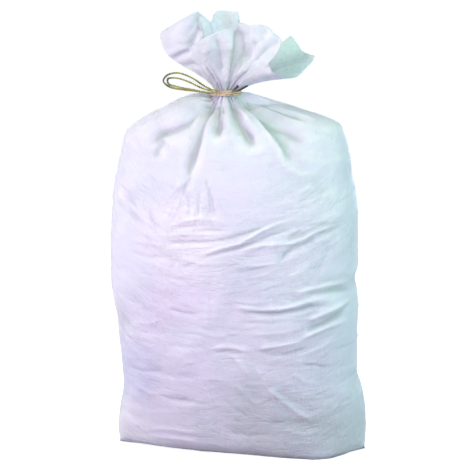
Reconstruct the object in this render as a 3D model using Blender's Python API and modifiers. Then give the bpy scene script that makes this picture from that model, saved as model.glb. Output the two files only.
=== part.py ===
"""Filled sack of woven polypropylene for 50 kg of cement, standing on its sewn bottom, its mouth
gathered and tied with twine.

Metres, +Z up. The origin is on the floor, in the middle of the flat that the sack stands on. X runs
along the sack's width, and -Y is its front.

Two pieces: the sack, as one closed form of the cloth and what fills it, with the gathered neck and
the open frill of the mouth above it, and the length of twine that ties the neck.
"""

import math

import bmesh
import bpy
from mathutils import Vector

# ---------------------------------------------------------------- driving sizes
TIE_Z = 0.600           # floor to the middle of the tie
NECK_X = -0.0252        # the neck stands a little left of the middle of the base
NECK_R = 0.0198         # the gathered cloth, where the twine grips it
FRILL_L = 0.1365        # cloth from the tie to the mouth's edge
FRILL_WALL = 0.011      # the ruffled cloth of the mouth, as one wall

TWINE_D = 0.0026
GAP = 0.0003            # between the twine and the cloth

SEGMENTS = 24           # around the cage of the sack

# Sections of the filled body, from the floor to the shoulders:
# height, left edge, right edge, front, back, squareness (2 is an ellipse, more is boxier)
BODY = (
    (0.0000, -0.1880, 0.1880, -0.0760, 0.0760, 2.2),
    (0.0045, -0.2110, 0.2110, -0.0860, 0.0860, 2.0),
    (0.0180, -0.2130, 0.2140, -0.0930, 0.0920, 2.0),
    (0.0600, -0.2090, 0.2120, -0.1010, 0.0980, 2.1),
    (0.1020, -0.2020, 0.2060, -0.1040, 0.1000, 2.3),
    (0.1500, -0.2060, 0.1960, -0.1040, 0.1000, 2.4),
    (0.2050, -0.2110, 0.1980, -0.1030, 0.0990, 2.4),
    (0.2650, -0.2200, 0.1970, -0.1020, 0.0980, 2.4),
    (0.3300, -0.2230, 0.1990, -0.1010, 0.0970, 2.4),
    (0.3950, -0.2220, 0.1990, -0.0990, 0.0950, 2.4),
    (0.4550, -0.2160, 0.1880, -0.0940, 0.0910, 2.4),
    (0.5000, -0.2040, 0.1840, -0.0860, 0.0840, 2.3),
    (0.5360, -0.1920, 0.1770, -0.0740, 0.0730, 2.2),
    (0.5570, -0.1680, 0.1540, -0.0620, 0.0610, 2.0),
    (0.5730, -0.1400, 0.1110, -0.0480, 0.0480, 2.0),
    (0.5870, -0.0920, 0.0540, -0.0340, 0.0340, 2.0),
)

# The mouth's cloth fans out from the neck: how far it leans from upright, in degrees, at the right,
# the back, the left and the front of the neck
LEAN = (64.0, 22.0, 43.0, 22.0)
RUFFLES = 5             # waves round the frill
RUFFLE = 0.09           # their height, as a share of the frill's reach


def clear_scene():
    for obj in list(bpy.data.objects):
        bpy.data.objects.remove(obj, do_unlink=True)


def collection(name):
    made = bpy.data.collections.new(name)
    bpy.context.scene.collection.children.link(made)
    return made


def material(name, colour, roughness):
    made = bpy.data.materials.new(name)
    made.use_nodes = True
    shader = made.node_tree.nodes["Principled BSDF"]
    shader.inputs["Base Color"].default_value = (*colour, 1.0)
    shader.inputs["Roughness"].default_value = roughness
    shader.inputs["Metallic"].default_value = 0.0
    return made


# ---------------------------------------------------------------- the sack
def power(value, exponent):
    return math.copysign(abs(value) ** exponent, value)


def body_ring(section):
    """One section of the filled body, as points counter-clockwise from +X, about its own middle."""
    z, left, right, front, back, square = section
    points = []
    for i in range(SEGMENTS):
        t = 2 * math.pi * i / SEGMENTS
        c, s = power(math.cos(t), 2 / square), power(math.sin(t), 2 / square)
        x = (left + right) / 2 + c * (right - left) / 2
        points.append(Vector((x, s * (back if s > 0 else -front), z)))
    return points


def neck_ring(radius, z):
    return [
        Vector((NECK_X + radius * math.cos(2 * math.pi * i / SEGMENTS), radius * math.sin(2 * math.pi * i / SEGMENTS), z))
        for i in range(SEGMENTS)
    ]


def lean_at(t):
    """How far the frill leans out at this angle round the neck, in radians."""
    t = t % (2 * math.pi)
    step = int(t // (math.pi / 2))
    share = (1 - math.cos(2 * (t - step * math.pi / 2))) / 2
    return math.radians(LEAN[step] * (1 - share) + LEAN[(step + 1) % 4] * share)


def frill_ring(reach, wall):
    """The mouth's cloth at this distance along it from the tie; wall moves the ring inside the cloth."""
    points = []
    for i in range(SEGMENTS):
        t = 2 * math.pi * i / SEGMENTS
        lean = lean_at(t)
        wave = 1 + RUFFLE * math.cos(RUFFLES * t + 0.6) * (reach / FRILL_L) ** 1.5
        out = math.sin(lean) * reach * wave + NECK_R
        up = math.cos(lean) * reach
        across, rise = math.cos(lean) * wall, math.sin(lean) * wall
        points.append(
            Vector((NECK_X + (out - across) * math.cos(t), (out - across) * math.sin(t), TIE_Z + up + rise))
        )
    return points


def ring_faces(bm, lower, upper):
    n = len(lower)
    for i in range(n):
        bm.faces.new((lower[i], lower[(i + 1) % n], upper[(i + 1) % n], upper[i]))


def make_sack(where):
    """A loft from the flat base through the belly, the shoulders and the pinched neck to the frill,
    over its edge and down inside it."""
    base = BODY[0]
    inner_base = [Vector((p.x * 0.55, p.y * 0.55, 0.0)) for p in body_ring(base)]
    near_base = [Vector((p.x * 0.90, p.y * 0.90, 0.0)) for p in body_ring(base)]
    rings = [inner_base, near_base] + [body_ring(section) for section in BODY]
    rings += [neck_ring(NECK_R * 1.06, TIE_Z - 0.0068), neck_ring(NECK_R, TIE_Z - 0.0040)]
    rings += [neck_ring(NECK_R, TIE_Z + 0.0036), neck_ring(NECK_R * 1.03, TIE_Z + 0.0054)]
    rings += [frill_ring(r * FRILL_L, 0.0) for r in (0.14, 0.28, 0.5, 0.75, 0.94, 1.0)]
    rings += [frill_ring(r * FRILL_L, FRILL_WALL) for r in (0.985, 0.80, 0.55)]
    bm = bmesh.new()
    made = [[bm.verts.new(p) for p in ring] for ring in rings]
    for lower, upper in zip(made, made[1:]):
        ring_faces(bm, lower, upper)
    floor_middle = bm.verts.new(Vector((0.0, 0.0, 0.0)))
    pit = sum((v.co for v in made[-1]), Vector()) / SEGMENTS
    pit_middle = bm.verts.new(pit - Vector((0.0, 0.0, 0.012)))
    for i in range(SEGMENTS):
        j = (i + 1) % SEGMENTS
        bm.faces.new((made[0][j], made[0][i], floor_middle))
        bm.faces.new((made[-1][i], made[-1][j], pit_middle))
    bmesh.ops.recalc_face_normals(bm, faces=bm.faces)
    mesh = bpy.data.meshes.new("sack")
    bm.to_mesh(mesh)
    bm.free()
    mesh.shade_smooth()
    sack = bpy.data.objects.new("sack", mesh)
    where.objects.link(sack)
    smooth = sack.modifiers.new("soft form", "SUBSURF")
    smooth.levels = smooth.render_levels = 1
    sack.data.materials.append(material("woven polypropylene", (0.90, 0.91, 0.95), 0.55))
    return sack


# ---------------------------------------------------------------- the twine
def smooth_path(points, step):
    """A smooth curve through the points (Catmull-Rom), with a point about every step."""
    pts = [Vector(p) for p in points]
    padded = [2 * pts[0] - pts[1]] + pts + [2 * pts[-1] - pts[-2]]
    out = []
    for a, b, c, d in zip(padded, padded[1:], padded[2:], padded[3:]):
        n = max(1, round((c - b).length / step))
        for k in range(n):
            t = k / n
            out.append(
                0.5 * ((2 * b) + (c - a) * t + (2 * a - 5 * b + 4 * c - d) * t * t + (3 * b - a - 3 * c + d) * t * t * t)
            )
    out.append(pts[-1])
    return out


def tube(name, points, diameter, where, cyclic=False):
    curve = bpy.data.curves.new(name, "CURVE")
    curve.dimensions = "3D"
    curve.bevel_depth = diameter / 2
    curve.bevel_resolution = 2
    curve.use_fill_caps = not cyclic
    spline = curve.splines.new("POLY")
    spline.points.add(len(points) - 1)
    for point, p in zip(spline.points, points):
        point.co = (*p, 1.0)
    spline.use_cyclic_u = cyclic
    obj = bpy.data.objects.new(name, curve)
    where.objects.link(obj)
    return obj


def as_mesh(obj, where):
    """The curve's tube as a closed mesh object of its own."""
    bpy.context.view_layer.update()
    graph = bpy.context.evaluated_depsgraph_get()
    mesh = bpy.data.meshes.new_from_object(obj.evaluated_get(graph))
    bm = bmesh.new()
    bm.from_mesh(mesh)
    bmesh.ops.remove_doubles(bm, verts=bm.verts, dist=1e-5)
    bmesh.ops.recalc_face_normals(bm, faces=bm.faces)
    bm.to_mesh(mesh)
    bm.free()
    made = bpy.data.objects.new(obj.name, mesh)
    made.matrix_world = obj.matrix_world.copy()
    where.objects.link(made)
    bpy.data.objects.remove(obj, do_unlink=True)
    return made


def around(angle, clear, z):
    """A point beside the neck: angle in degrees from the front towards +X, clear of the cloth, at a
    height from the tie's middle."""
    a = math.radians(angle)
    radius = NECK_R
    if z > 0:
        lean = lean_at(a - math.pi / 2)
        radius += math.tan(lean) * z * (1 + RUFFLE)
    radius += clear
    return (NECK_X + radius * math.sin(a), -radius * math.cos(a), TIE_Z + z)


def make_twine(where, tools):
    """The twine as it lies: two turns round the neck, the knot at the front left, two bights that
    stand out to the left and two cut ends at the right."""
    wrap = GAP + TWINE_D / 2
    turns = []
    for z in (TWINE_D / 2 - 0.0002, -TWINE_D / 2 + 0.0002):
        ring = []
        for i in range(28):
            a = 2 * math.pi * i / 28
            radius = NECK_R + wrap
            ring.append((NECK_X + radius * math.sin(a), -radius * math.cos(a), TIE_Z + z))
        turns.append(tube("turn", ring, TWINE_D, tools, cyclic=True))
    outer = smooth_path(
        (
            around(-36, wrap + 0.0012, 0.0022),
            (-0.0600, -0.0290, TIE_Z + 0.0130),
            (-0.0800, -0.0310, TIE_Z + 0.0260),
            (-0.1035, -0.0300, TIE_Z + 0.0335),
            (-0.1210, -0.0280, TIE_Z + 0.0290),
            (-0.1270, -0.0270, TIE_Z + 0.0200),
            (-0.1180, -0.0280, TIE_Z + 0.0110),
            (-0.0980, -0.0300, TIE_Z + 0.0065),
            (-0.0720, -0.0300, TIE_Z + 0.0040),
            around(-38, wrap + 0.0012, -0.0020),
        ),
        0.0065,
    )
    inner = smooth_path(
        (
            around(-37, wrap + 0.0030, 0.0010),
            (-0.0620, -0.0330, TIE_Z + 0.0090),
            (-0.0850, -0.0350, TIE_Z + 0.0200),
            (-0.1050, -0.0345, TIE_Z + 0.0255),
            (-0.1190, -0.0320, TIE_Z + 0.0235),
            (-0.1180, -0.0315, TIE_Z + 0.0160),
            (-0.1020, -0.0335, TIE_Z + 0.0110),
            (-0.0750, -0.0340, TIE_Z + 0.0060),
            around(-39, wrap + 0.0030, -0.0015),
        ),
        0.0065,
    )
    end_a = smooth_path(
        (around(10, wrap + 0.0002, 0.0008), around(19, 0.0040, 0.0055), around(27, 0.0060, 0.0125), around(31, 0.0060, 0.0195)), 0.006
    )
    end_b = smooth_path(
        (around(36, wrap + 0.0004, 0.0002), around(46, 0.0055, 0.0030), around(52, 0.0090, 0.0070), around(55, 0.0110, 0.0110)), 0.006
    )
    pieces = [tube("bight", p, TWINE_D, tools) for p in (outer, inner)] + [tube("end", p, TWINE_D, tools) for p in (end_a, end_b)]
    pieces = [as_mesh(p, tools) for p in turns + pieces]
    # the knot: a lump of twine over the turns
    bm = bmesh.new()
    bmesh.ops.create_uvsphere(bm, u_segments=16, v_segments=8, radius=1.0)
    for v in bm.verts:
        v.co = Vector((v.co.x * 0.0058, v.co.y * 0.0034, v.co.z * 0.0042))
    mesh = bpy.data.meshes.new("knot")
    bm.to_mesh(mesh)
    bm.free()
    lump = bpy.data.objects.new("knot", mesh)
    turned = math.radians(-34)
    reach = NECK_R + GAP + 0.0040
    lump.location = (NECK_X + math.sin(turned) * reach, -math.cos(turned) * reach, TIE_Z)
    lump.rotation_euler = (0.0, 0.0, turned)
    tools.objects.link(lump)
    twine = pieces[0]
    twine.name = "tie_twine"
    twine.data.name = "tie_twine"
    tools.objects.unlink(twine)
    where.objects.link(twine)
    for other in pieces[1:] + [lump]:
        other.hide_render = True
        other.display_type = "WIRE"
        join = twine.modifiers.new("join", "BOOLEAN")
        join.operation = "UNION"
        join.object = other
    twine.data.materials.append(material("twine", (0.50, 0.42, 0.20), 0.7))
    return twine


def main():
    clear_scene()
    object_parts = collection("cement_bag")
    tools = collection("tools")
    make_sack(object_parts)
    make_twine(object_parts, tools)
    bpy.context.view_layer.update()


main()
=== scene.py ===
import math

import bpy
import numpy as np
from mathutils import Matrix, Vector


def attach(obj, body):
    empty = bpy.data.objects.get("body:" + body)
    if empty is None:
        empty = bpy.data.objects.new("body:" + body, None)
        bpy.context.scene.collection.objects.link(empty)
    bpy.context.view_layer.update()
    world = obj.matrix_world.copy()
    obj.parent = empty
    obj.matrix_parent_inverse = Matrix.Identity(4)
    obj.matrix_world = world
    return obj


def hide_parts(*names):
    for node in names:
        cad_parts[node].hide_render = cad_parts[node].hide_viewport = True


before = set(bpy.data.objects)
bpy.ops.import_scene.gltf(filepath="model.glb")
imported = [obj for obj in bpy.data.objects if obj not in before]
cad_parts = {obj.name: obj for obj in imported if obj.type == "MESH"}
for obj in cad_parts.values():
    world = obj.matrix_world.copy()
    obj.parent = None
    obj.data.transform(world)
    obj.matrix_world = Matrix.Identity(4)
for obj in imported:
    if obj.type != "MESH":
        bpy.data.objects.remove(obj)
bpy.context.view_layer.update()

# ------------------------------------------------------------------ the view
# The camera stands a little to the right of the sack's front and a little above it.
AZ, EL, DIST = math.radians(6.0), math.radians(9.5), 3.2
SCALE = 599.0                                   # pixels of the 470 frame to a metre at the target
TARGET = np.array((-0.0117, 0.0, 0.3613))
BACK = np.array((math.sin(AZ) * math.cos(EL), -math.cos(AZ) * math.cos(EL), math.sin(EL)))
RIGHT = np.array((math.cos(AZ), math.sin(AZ), 0.0))
UP = np.cross(BACK, RIGHT)
EYE = TARGET + DIST * BACK


def seen(points):
    """Where points show in the 470 frame, as x and y."""
    d = points - EYE
    deep = -(d @ BACK)
    return 235 + SCALE * DIST * (d @ RIGHT) / deep, 235 - SCALE * DIST * (d @ UP) / deep


def place(px, py, y):
    """The point at depth y that shows at px, py in the 470 frame."""
    px, py, y = np.broadcast_arrays(np.asarray(px, float), np.asarray(py, float), np.asarray(y, float))
    ray = -BACK * DIST + RIGHT * ((px[..., None] - 235) / SCALE) - UP * ((py[..., None] - 235) / SCALE)
    t = (y - EYE[1]) / ray[..., 1]
    return EYE + ray * t[..., None]


# ------------------------------------------------------------------ small tools
def steps(x, a, b):
    """0 below a, 1 above b, smooth between."""
    q = np.clip((np.asarray(x, float) - a) / (b - a), 0, 1)
    return q * q * (3 - 2 * q)


def curve(xs, ys):
    """A smooth curve through the points with no overshoot, as a function."""
    x, y = np.asarray(xs, float), np.asarray(ys, float)
    order = np.argsort(x)
    x, y = x[order], y[order]
    h, d = np.diff(x), np.diff(y) / np.diff(x)
    m = np.zeros_like(y)
    same = d[:-1] * d[1:] > 0
    w1, w2 = 2 * h[1:] + h[:-1], h[1:] + 2 * h[:-1]
    safe = np.where(same, d[:-1], 1), np.where(same, d[1:], 1)
    m[1:-1] = np.where(same, (w1 + w2) / (w1 / safe[0] + w2 / safe[1]), 0)
    m[0], m[-1] = d[0], d[-1]

    def at(q):
        q = np.clip(q, x[0], x[-1])
        i = np.clip(np.searchsorted(x, q) - 1, 0, len(h) - 1)
        s = (q - x[i]) / h[i]
        return (
            y[i] * (1 + 2 * s) * (1 - s) ** 2 + m[i] * h[i] * s * (1 - s) ** 2
            + y[i + 1] * s * s * (3 - 2 * s) - m[i + 1] * h[i] * s * s * (1 - s)
        )

    return at


def catmull_closed(p, knots, q):
    """Closed Catmull-Rom through p, whose knots run from 0 to 1 (one more than p), read at q."""
    k = len(p)
    q = np.mod(q, 1.0)
    i = np.clip(np.searchsorted(knots, q, side="right") - 1, 0, k - 1)
    idx = lambda j: p[np.mod(j, k)]
    step = np.diff(knots)
    h0, h1, h2 = step[np.mod(i - 1, k)], step[i], step[np.mod(i + 1, k)]
    s = ((q - knots[i]) / h1)[:, None]
    a, b, c, d = idx(i - 1), idx(i), idx(i + 1), idx(i + 2)
    h0, h1, h2 = h0[:, None], h1[:, None], h2[:, None]
    m1 = h1 * ((b - a) / h0 / 1 * h1 + (c - b) / h1 * h0) / (h0 + h1)
    m2 = h1 * ((c - b) / h1 * h2 + (d - c) / h2 * h1) / (h1 + h2)
    return b * (1 + 2 * s) * (1 - s) ** 2 + m1 * s * (1 - s) ** 2 + c * s * s * (3 - 2 * s) - m2 * s * s * (1 - s)


def waves(p, size, seed, count=9):
    """Smooth noise of that size in metres, about -1 to 1, from a few warped sine waves."""
    rng = np.random.default_rng(seed)
    p = np.asarray(p, float)
    total = np.zeros(p.shape[:-1])
    bend = np.zeros_like(p)
    for _ in range(3):
        d = rng.normal(size=3)
        d /= np.linalg.norm(d)
        axis = rng.normal(size=3)
        bend = bend + 0.35 * size * np.sin(2 * math.pi * (p @ d) / (size * rng.uniform(1.6, 2.6)) + rng.uniform(0, 6.28))[..., None] * axis
    for _ in range(count):
        d = rng.normal(size=3)
        d /= np.linalg.norm(d)
        total = total + np.sin(2 * math.pi * ((p + bend) @ d) / (size * rng.uniform(0.75, 1.4)) + rng.uniform(0, 6.28))
    return total / math.sqrt(count)


def to_line(x, y, line):
    """Distance from each point to a polyline in the plane, the share of the way along it, and the
    side (positive on the left of the way it runs)."""
    line = np.asarray(line, float)
    best = np.full(x.shape, 1e9)
    share = np.zeros(x.shape)
    side = np.zeros(x.shape)
    length = np.concatenate([[0], np.cumsum(np.linalg.norm(np.diff(line, axis=0), axis=1))])
    for k in range(len(line) - 1):
        a, b = line[k], line[k + 1]
        d = b - a
        q = np.clip(((x - a[0]) * d[0] + (y - a[1]) * d[1]) / (d @ d), 0, 1)
        dx, dy = x - a[0] - q * d[0], y - a[1] - q * d[1]
        r = np.hypot(dx, dy)
        near = r < best
        best = np.where(near, r, best)
        share = np.where(near, (length[k] + q * (length[k + 1] - length[k])) / length[-1], share)
        side = np.where(near, np.sign(d[0] * dy - d[1] * dx), side)
    return best, share, side


def normals(p):
    """Unit normals of the grid of points, rows up the sack and columns round it; they point out."""
    across = np.roll(p, -1, 1) - np.roll(p, 1, 1)
    up = np.empty_like(p)
    up[1:-1] = p[2:] - p[:-2]
    up[0], up[-1] = p[1] - p[0], p[-1] - p[-2]
    n = np.cross(across, up)
    return n / np.maximum(np.linalg.norm(n, axis=2, keepdims=True), 1e-12)


# ------------------------------------------------------------------ sizes of the grid
FRONT_COLS, BACK_COLS = ((180, 100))
COLS = FRONT_COLS + BACK_COLS
BODY_ROWS = 258
CROWN_ROWS = 42

TIE_Z, NECK_X, NECK_R = 0.600, -0.0252, 0.0198
NECK = np.array((NECK_X, 0.0, TIE_Z))

# ------------------------------------------------------------------ the body, from the photograph's outline
LEFT = ((441, 116.9), (420, 118.2), (402, 119.9), (381, 123.2), (360, 121.6), (339, 119.9), (318, 118.2), (297, 113.9),
        (276, 111.3), (255, 111.2), (225, 111.8), (198, 112.4), (180, 114.8), (162, 118.4), (148, 122.0))
RIGHT_SIDE = ((448, 367.2), (432, 366.3), (411, 365.7), (396, 364.3), (384, 362.2), (369, 357.4), (339, 357.6), (315, 358.2), (291, 357.6),
              (277, 355.6), (264, 358.4), (240, 358.9), (216, 358.7), (195, 356.5), (177, 352.6), (159, 350.7), (150, 349.3))


def side_curve(table):
    p = place([c[1] for c in table], [c[0] for c in table], 0.0)
    z = p[:, 2] - p[0, 2] * (1 - p[:, 2] / 0.5)
    return curve(z, p[:, 0])


left_at, right_at = side_curve(LEFT), side_curve(RIGHT_SIDE)
WALL_TOP = 0.498

front_deep = curve((0.0, 0.02, 0.05, 0.10, 0.16, 0.24, 0.32, 0.40, 0.45, 0.50), (0.080, 0.083, 0.0875, 0.0935, 0.0985, 0.1005, 0.0985, 0.095, 0.091, 0.083))
back_deep = curve((0.0, 0.02, 0.05, 0.10, 0.16, 0.24, 0.32, 0.40, 0.45, 0.50), (0.078, 0.083, 0.090, 0.095, 0.097, 0.097, 0.096, 0.093, 0.089, 0.082))
# where the sack meets the floor, in front and behind, along X
foot_front = curve(
    (-0.2095, -0.190, -0.1645, -0.124, -0.090, -0.054, -0.016, 0.022, 0.060, 0.095, 0.125, 0.150, 0.170, 0.190, 0.2095),
    (0.000, -0.004, -0.010, -0.027, -0.038, -0.047, -0.054, -0.061, -0.070, -0.077, -0.079, -0.072, -0.050, -0.020, 0.000),
)
foot_back = curve((-0.2095, -0.18, -0.14, -0.09, 0.0, 0.09, 0.14, 0.18, 0.2095), (0.0, 0.034, 0.062, 0.076, 0.080, 0.076, 0.062, 0.034, 0.0))


def wall(z, t):
    """The body's wall at heights z (rows) and angles t (columns), counter-clockwise from +X."""
    z, t = np.asarray(z, float)[:, None], np.asarray(t, float)[None, :]
    c, s = np.cos(t), np.sin(t)
    lo, hi = left_at(z), right_at(z)
    middle, half = (lo + hi) / 2, (hi - lo) / 2
    n = 2.45 - 0.35 * steps(z, 0.36, 0.50) - 0.25 * (1 - steps(z, 0.02, 0.12))
    x = middle + half * np.sign(c) * np.abs(c) ** (2 / n)
    deep = np.where(s < 0, -front_deep(z), back_deep(z))
    y = deep * np.abs(s) ** (2 / n)
    # the front is fuller on the right, and turns away there
    y = y * np.where(s < 0, 1 + 0.16 * np.sin(np.clip((x - middle) / half, -1, 1) * 1.9), 1)
    # the foot
    fx = 0.2095 * np.sign(c) * np.abs(c) ** 0.92 + 0 * z
    fy = np.where(s < 0, foot_front(fx), foot_back(fx))
    w = 1 - np.clip(1 - z / 0.032, 0, 1) ** 4
    w = np.where(z <= 0, 0, w)
    side = steps(z, 0.0, 0.04)
    x = fx * (1 - side) + x * side
    y = fy * (1 - w) + y * w
    return np.stack([x, y, z + 0 * t], axis=-1)


# the shoulders: how far out from the neck (1 is the wall's top) against the height
SIDE_L = curve((0.0, 0.10, 0.25, 0.51, 0.77, 0.90, 0.965, 1.0), (0.6000, 0.5995, 0.5965, 0.5815, 0.5600, 0.5440, 0.5250, 0.498))
SIDE_R = curve((0.0, 0.08, 0.193, 0.406, 0.646, 0.805, 0.905, 0.965, 1.0), (0.6000, 0.5990, 0.5950, 0.5835, 0.5690, 0.5585, 0.5480, 0.5200, 0.498))
FRONT = curve((0.0, 0.15, 0.35, 0.55, 0.75, 0.90, 1.0), (0.5985, 0.5905, 0.5790, 0.5655, 0.5460, 0.5220, 0.498))


def shoulder(top_ring, t, parts):
    """From the wall's top ring in to the neck, as rows of points."""
    c = np.cos(t)
    left, right = np.clip(-c, 0, 1) ** 2.6, np.clip(c, 0, 1) ** 2.6
    neck = np.stack([NECK_X + NECK_R * np.cos(t), NECK_R * np.sin(t), np.full_like(t, TIE_Z - 0.003)], -1)
    rows = []
    for q in parts:
        out = 1 - q
        z = SIDE_L(out) * left + SIDE_R(out) * right + FRONT(out) * (1 - left - right)
        xy = neck[:, :2] + (top_ring[:, :2] - neck[:, :2]) * out
        rows.append(np.concatenate([xy, z[:, None]], 1))
    return np.array(rows)


def resample(cols, n, weights=None):
    """The columns' polylines (rows, columns, 3), cut into n equal steps each."""
    d = np.linalg.norm(np.diff(cols, axis=0), axis=2)
    far = np.concatenate([np.zeros((1, d.shape[1])), np.cumsum(d, 0)])
    out = np.empty((n + 1, cols.shape[1], 3))
    for j in range(cols.shape[1]):
        q = np.linspace(0, 1, n + 1) * far[-1, j]
        for k in range(3):
            out[:, j, k] = np.interp(q, far[:, j], cols[:, j, k])
    return out, far[-1]


def build_body():
    """The smooth body from its seam under the foot to the neck: rows of points up each column."""
    dense = np.linspace(0, 2 * math.pi, 2001)
    ring = wall([0.30], dense)[0]
    far = np.concatenate([[0], np.cumsum(np.linalg.norm(np.diff(ring, axis=0), axis=1))])
    share = np.concatenate([np.arange(BACK_COLS) / BACK_COLS * 0.5, 0.5 + np.arange(FRONT_COLS) / FRONT_COLS * 0.5])
    half = np.interp(math.pi, dense, far)
    share = np.where(share < 0.5, share / 0.5 * half, half + (share - 0.5) / 0.5 * (far[-1] - half))
    t = np.interp(share, far, dense)
    foot = wall([0.0], t)[0]
    seam = foot.copy()
    seam[:, 1] = 0.25 * (foot_front(foot[:, 0]) + foot_back(foot[:, 0]))
    side = np.where(np.arange(COLS) < BACK_COLS, 1.0, -1.0)
    seam[:, 1] += side * 0.004 * np.sqrt(np.clip(1 - (foot[:, 0] / 0.2095) ** 2, 0, 1))
    under = [seam * (1 - q) + foot * q for q in np.linspace(0, 1, 12)[:-1]]
    walls = wall(0.5 * (1 - np.cos(np.linspace(0, math.pi / 2, 160))) / (1 - math.cos(math.pi / 2)) * WALL_TOP * 2, t)
    tops = shoulder(walls[-1], t, np.linspace(0, 1, 90)[1:])
    cols = np.concatenate([np.array(under), walls, tops])
    grid, length = resample(cols, BODY_ROWS)
    return grid, t, share, far[-1], length


# ------------------------------------------------------------------ the frill
# The mouth's edge, from the right tip by the back to the left tip and on by the front, as places in the frame with
# the depth of each.
EDGE_BACK = (
    (314.5, 57.0, 0.000), (309.0, 54.5, 0.016), (302.4, 51.0, 0.030), (296.3, 42.0, 0.043), (290.8, 36.2, 0.052), (284.0, 40.5, 0.062),
    (273.0, 43.0, 0.066), (260.0, 38.0, 0.060), (248.0, 34.0, 0.064), (241.5, 27.0, 0.058), (239.2, 20.0, 0.052), (238.4, 12.9, 0.050),
    (231.5, 11.6, 0.056), (224.0, 10.6, 0.060), (217.6, 11.4, 0.056), (213.2, 15.4, 0.050), (210.8, 21.6, 0.044), (205.5, 17.4, 0.042),
    (199.6, 13.6, 0.038), (192.0, 18.5, 0.036), (181.0, 25.0, 0.030), (170.0, 31.0, 0.018),
)
EDGE_FRONT = (
    (160.3, 33.0, 0.002), (165.5, 29.4, -0.018), (173.0, 25.2, -0.034), (183.3, 18.8, -0.046), (192.0, 13.4, -0.050), (198.4, 11.8, -0.044),
    (199.0, 19.0, -0.036), (197.0, 29.0, -0.032), (194.0, 38.0, -0.032), (193.0, 44.0, -0.036), (197.5, 42.0, -0.044),
    (205.0, 37.6, -0.048), (215.0, 32.6, -0.050), (227.0, 28.8, -0.050), (236.4, 27.2, -0.046), (239.8, 22.6, -0.044),
    (249.0, 25.4, -0.050), (259.0, 24.6, -0.056), (268.2, 27.2, -0.052), (274.0, 33.0, -0.056), (280.5, 38.4, -0.050),
    (279.8, 48.0, -0.062), (274.5, 57.0, -0.074), (268.5, 64.5, -0.078), (271.5, 71.5, -0.076), (281.0, 76.8, -0.066),
    (295.0, 77.8, -0.046), (306.0, 68.5, -0.022),
)


def build_crown(t):
    """The mouth's cloth from the neck to its edge. Columns run as the body's do: right, back, left, front."""
    back = np.array([place(*c) for c in EDGE_BACK])
    front = np.array([place(*c) for c in EDGE_FRONT])
    both = np.concatenate([back, front])
    gap = np.linalg.norm(np.roll(both, -1, 0) - both, axis=1) ** 0.8
    nb = len(back)
    half_a, half_b = np.cumsum(gap[:nb]), np.cumsum(gap[nb:])
    knots = np.concatenate([[0], half_a / half_a[-1] * 0.5, 0.5 + half_b / half_b[-1] * 0.5])
    q = np.concatenate([np.arange(BACK_COLS) / BACK_COLS * 0.5, 0.5 + np.arange(FRONT_COLS) / FRONT_COLS * 0.5])
    rim = catmull_closed(both, knots, q)
    start = np.stack([NECK_X + NECK_R * np.cos(t), NECK_R * np.sin(t), np.full_like(t, TIE_Z + 0.003)], -1)
    span = rim - start
    reach = np.linalg.norm(span, axis=1, keepdims=True)
    # the cloth leaves the neck steeply, fans out, and nods over at its edge
    outward = np.stack([np.cos(t), np.sin(t), 0 * t], -1)
    p1 = start + reach * (0.30 * span / reach + np.array((0, 0, 0.10)) + 0.04 * outward)
    p2 = rim - reach * (0.26 * span / reach) + np.array((0, 0, 0.004)) + 0.010 * outward * np.array((0.2, 1.0, 0))
    # on the left it hangs out in a pouch before it comes up to its edge
    rim_x, rim_y = seen(rim)
    low = ((1 - steps(rim_x, 164.0, 202.0)) * steps(38.0 - rim_y, -4.0, 3.0))[:, None]
    pouch = np.array((-0.676, 0.0, -0.737))
    p1 = p1 + low * (-0.012 * pouch - np.array((0, 0, 0.10)) * reach * 0.9)
    p2 = p2 + low * 0.047 * pouch * np.array((0.74, 1.0, 1.0))
    s = np.linspace(0, 1, 60)[:, None, None]
    cols = start * (1 - s) ** 3 + 3 * p1 * s * (1 - s) ** 2 + 3 * p2 * s * s * (1 - s) + rim * s**3
    grid, length = resample(cols, CROWN_ROWS)
    return grid, length


body, angles, around_m, girth, body_len = build_body()
crown, crown_len = build_crown(angles)
NECK_ROW = len(body) - 1
grid = np.concatenate([body, crown])


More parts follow.
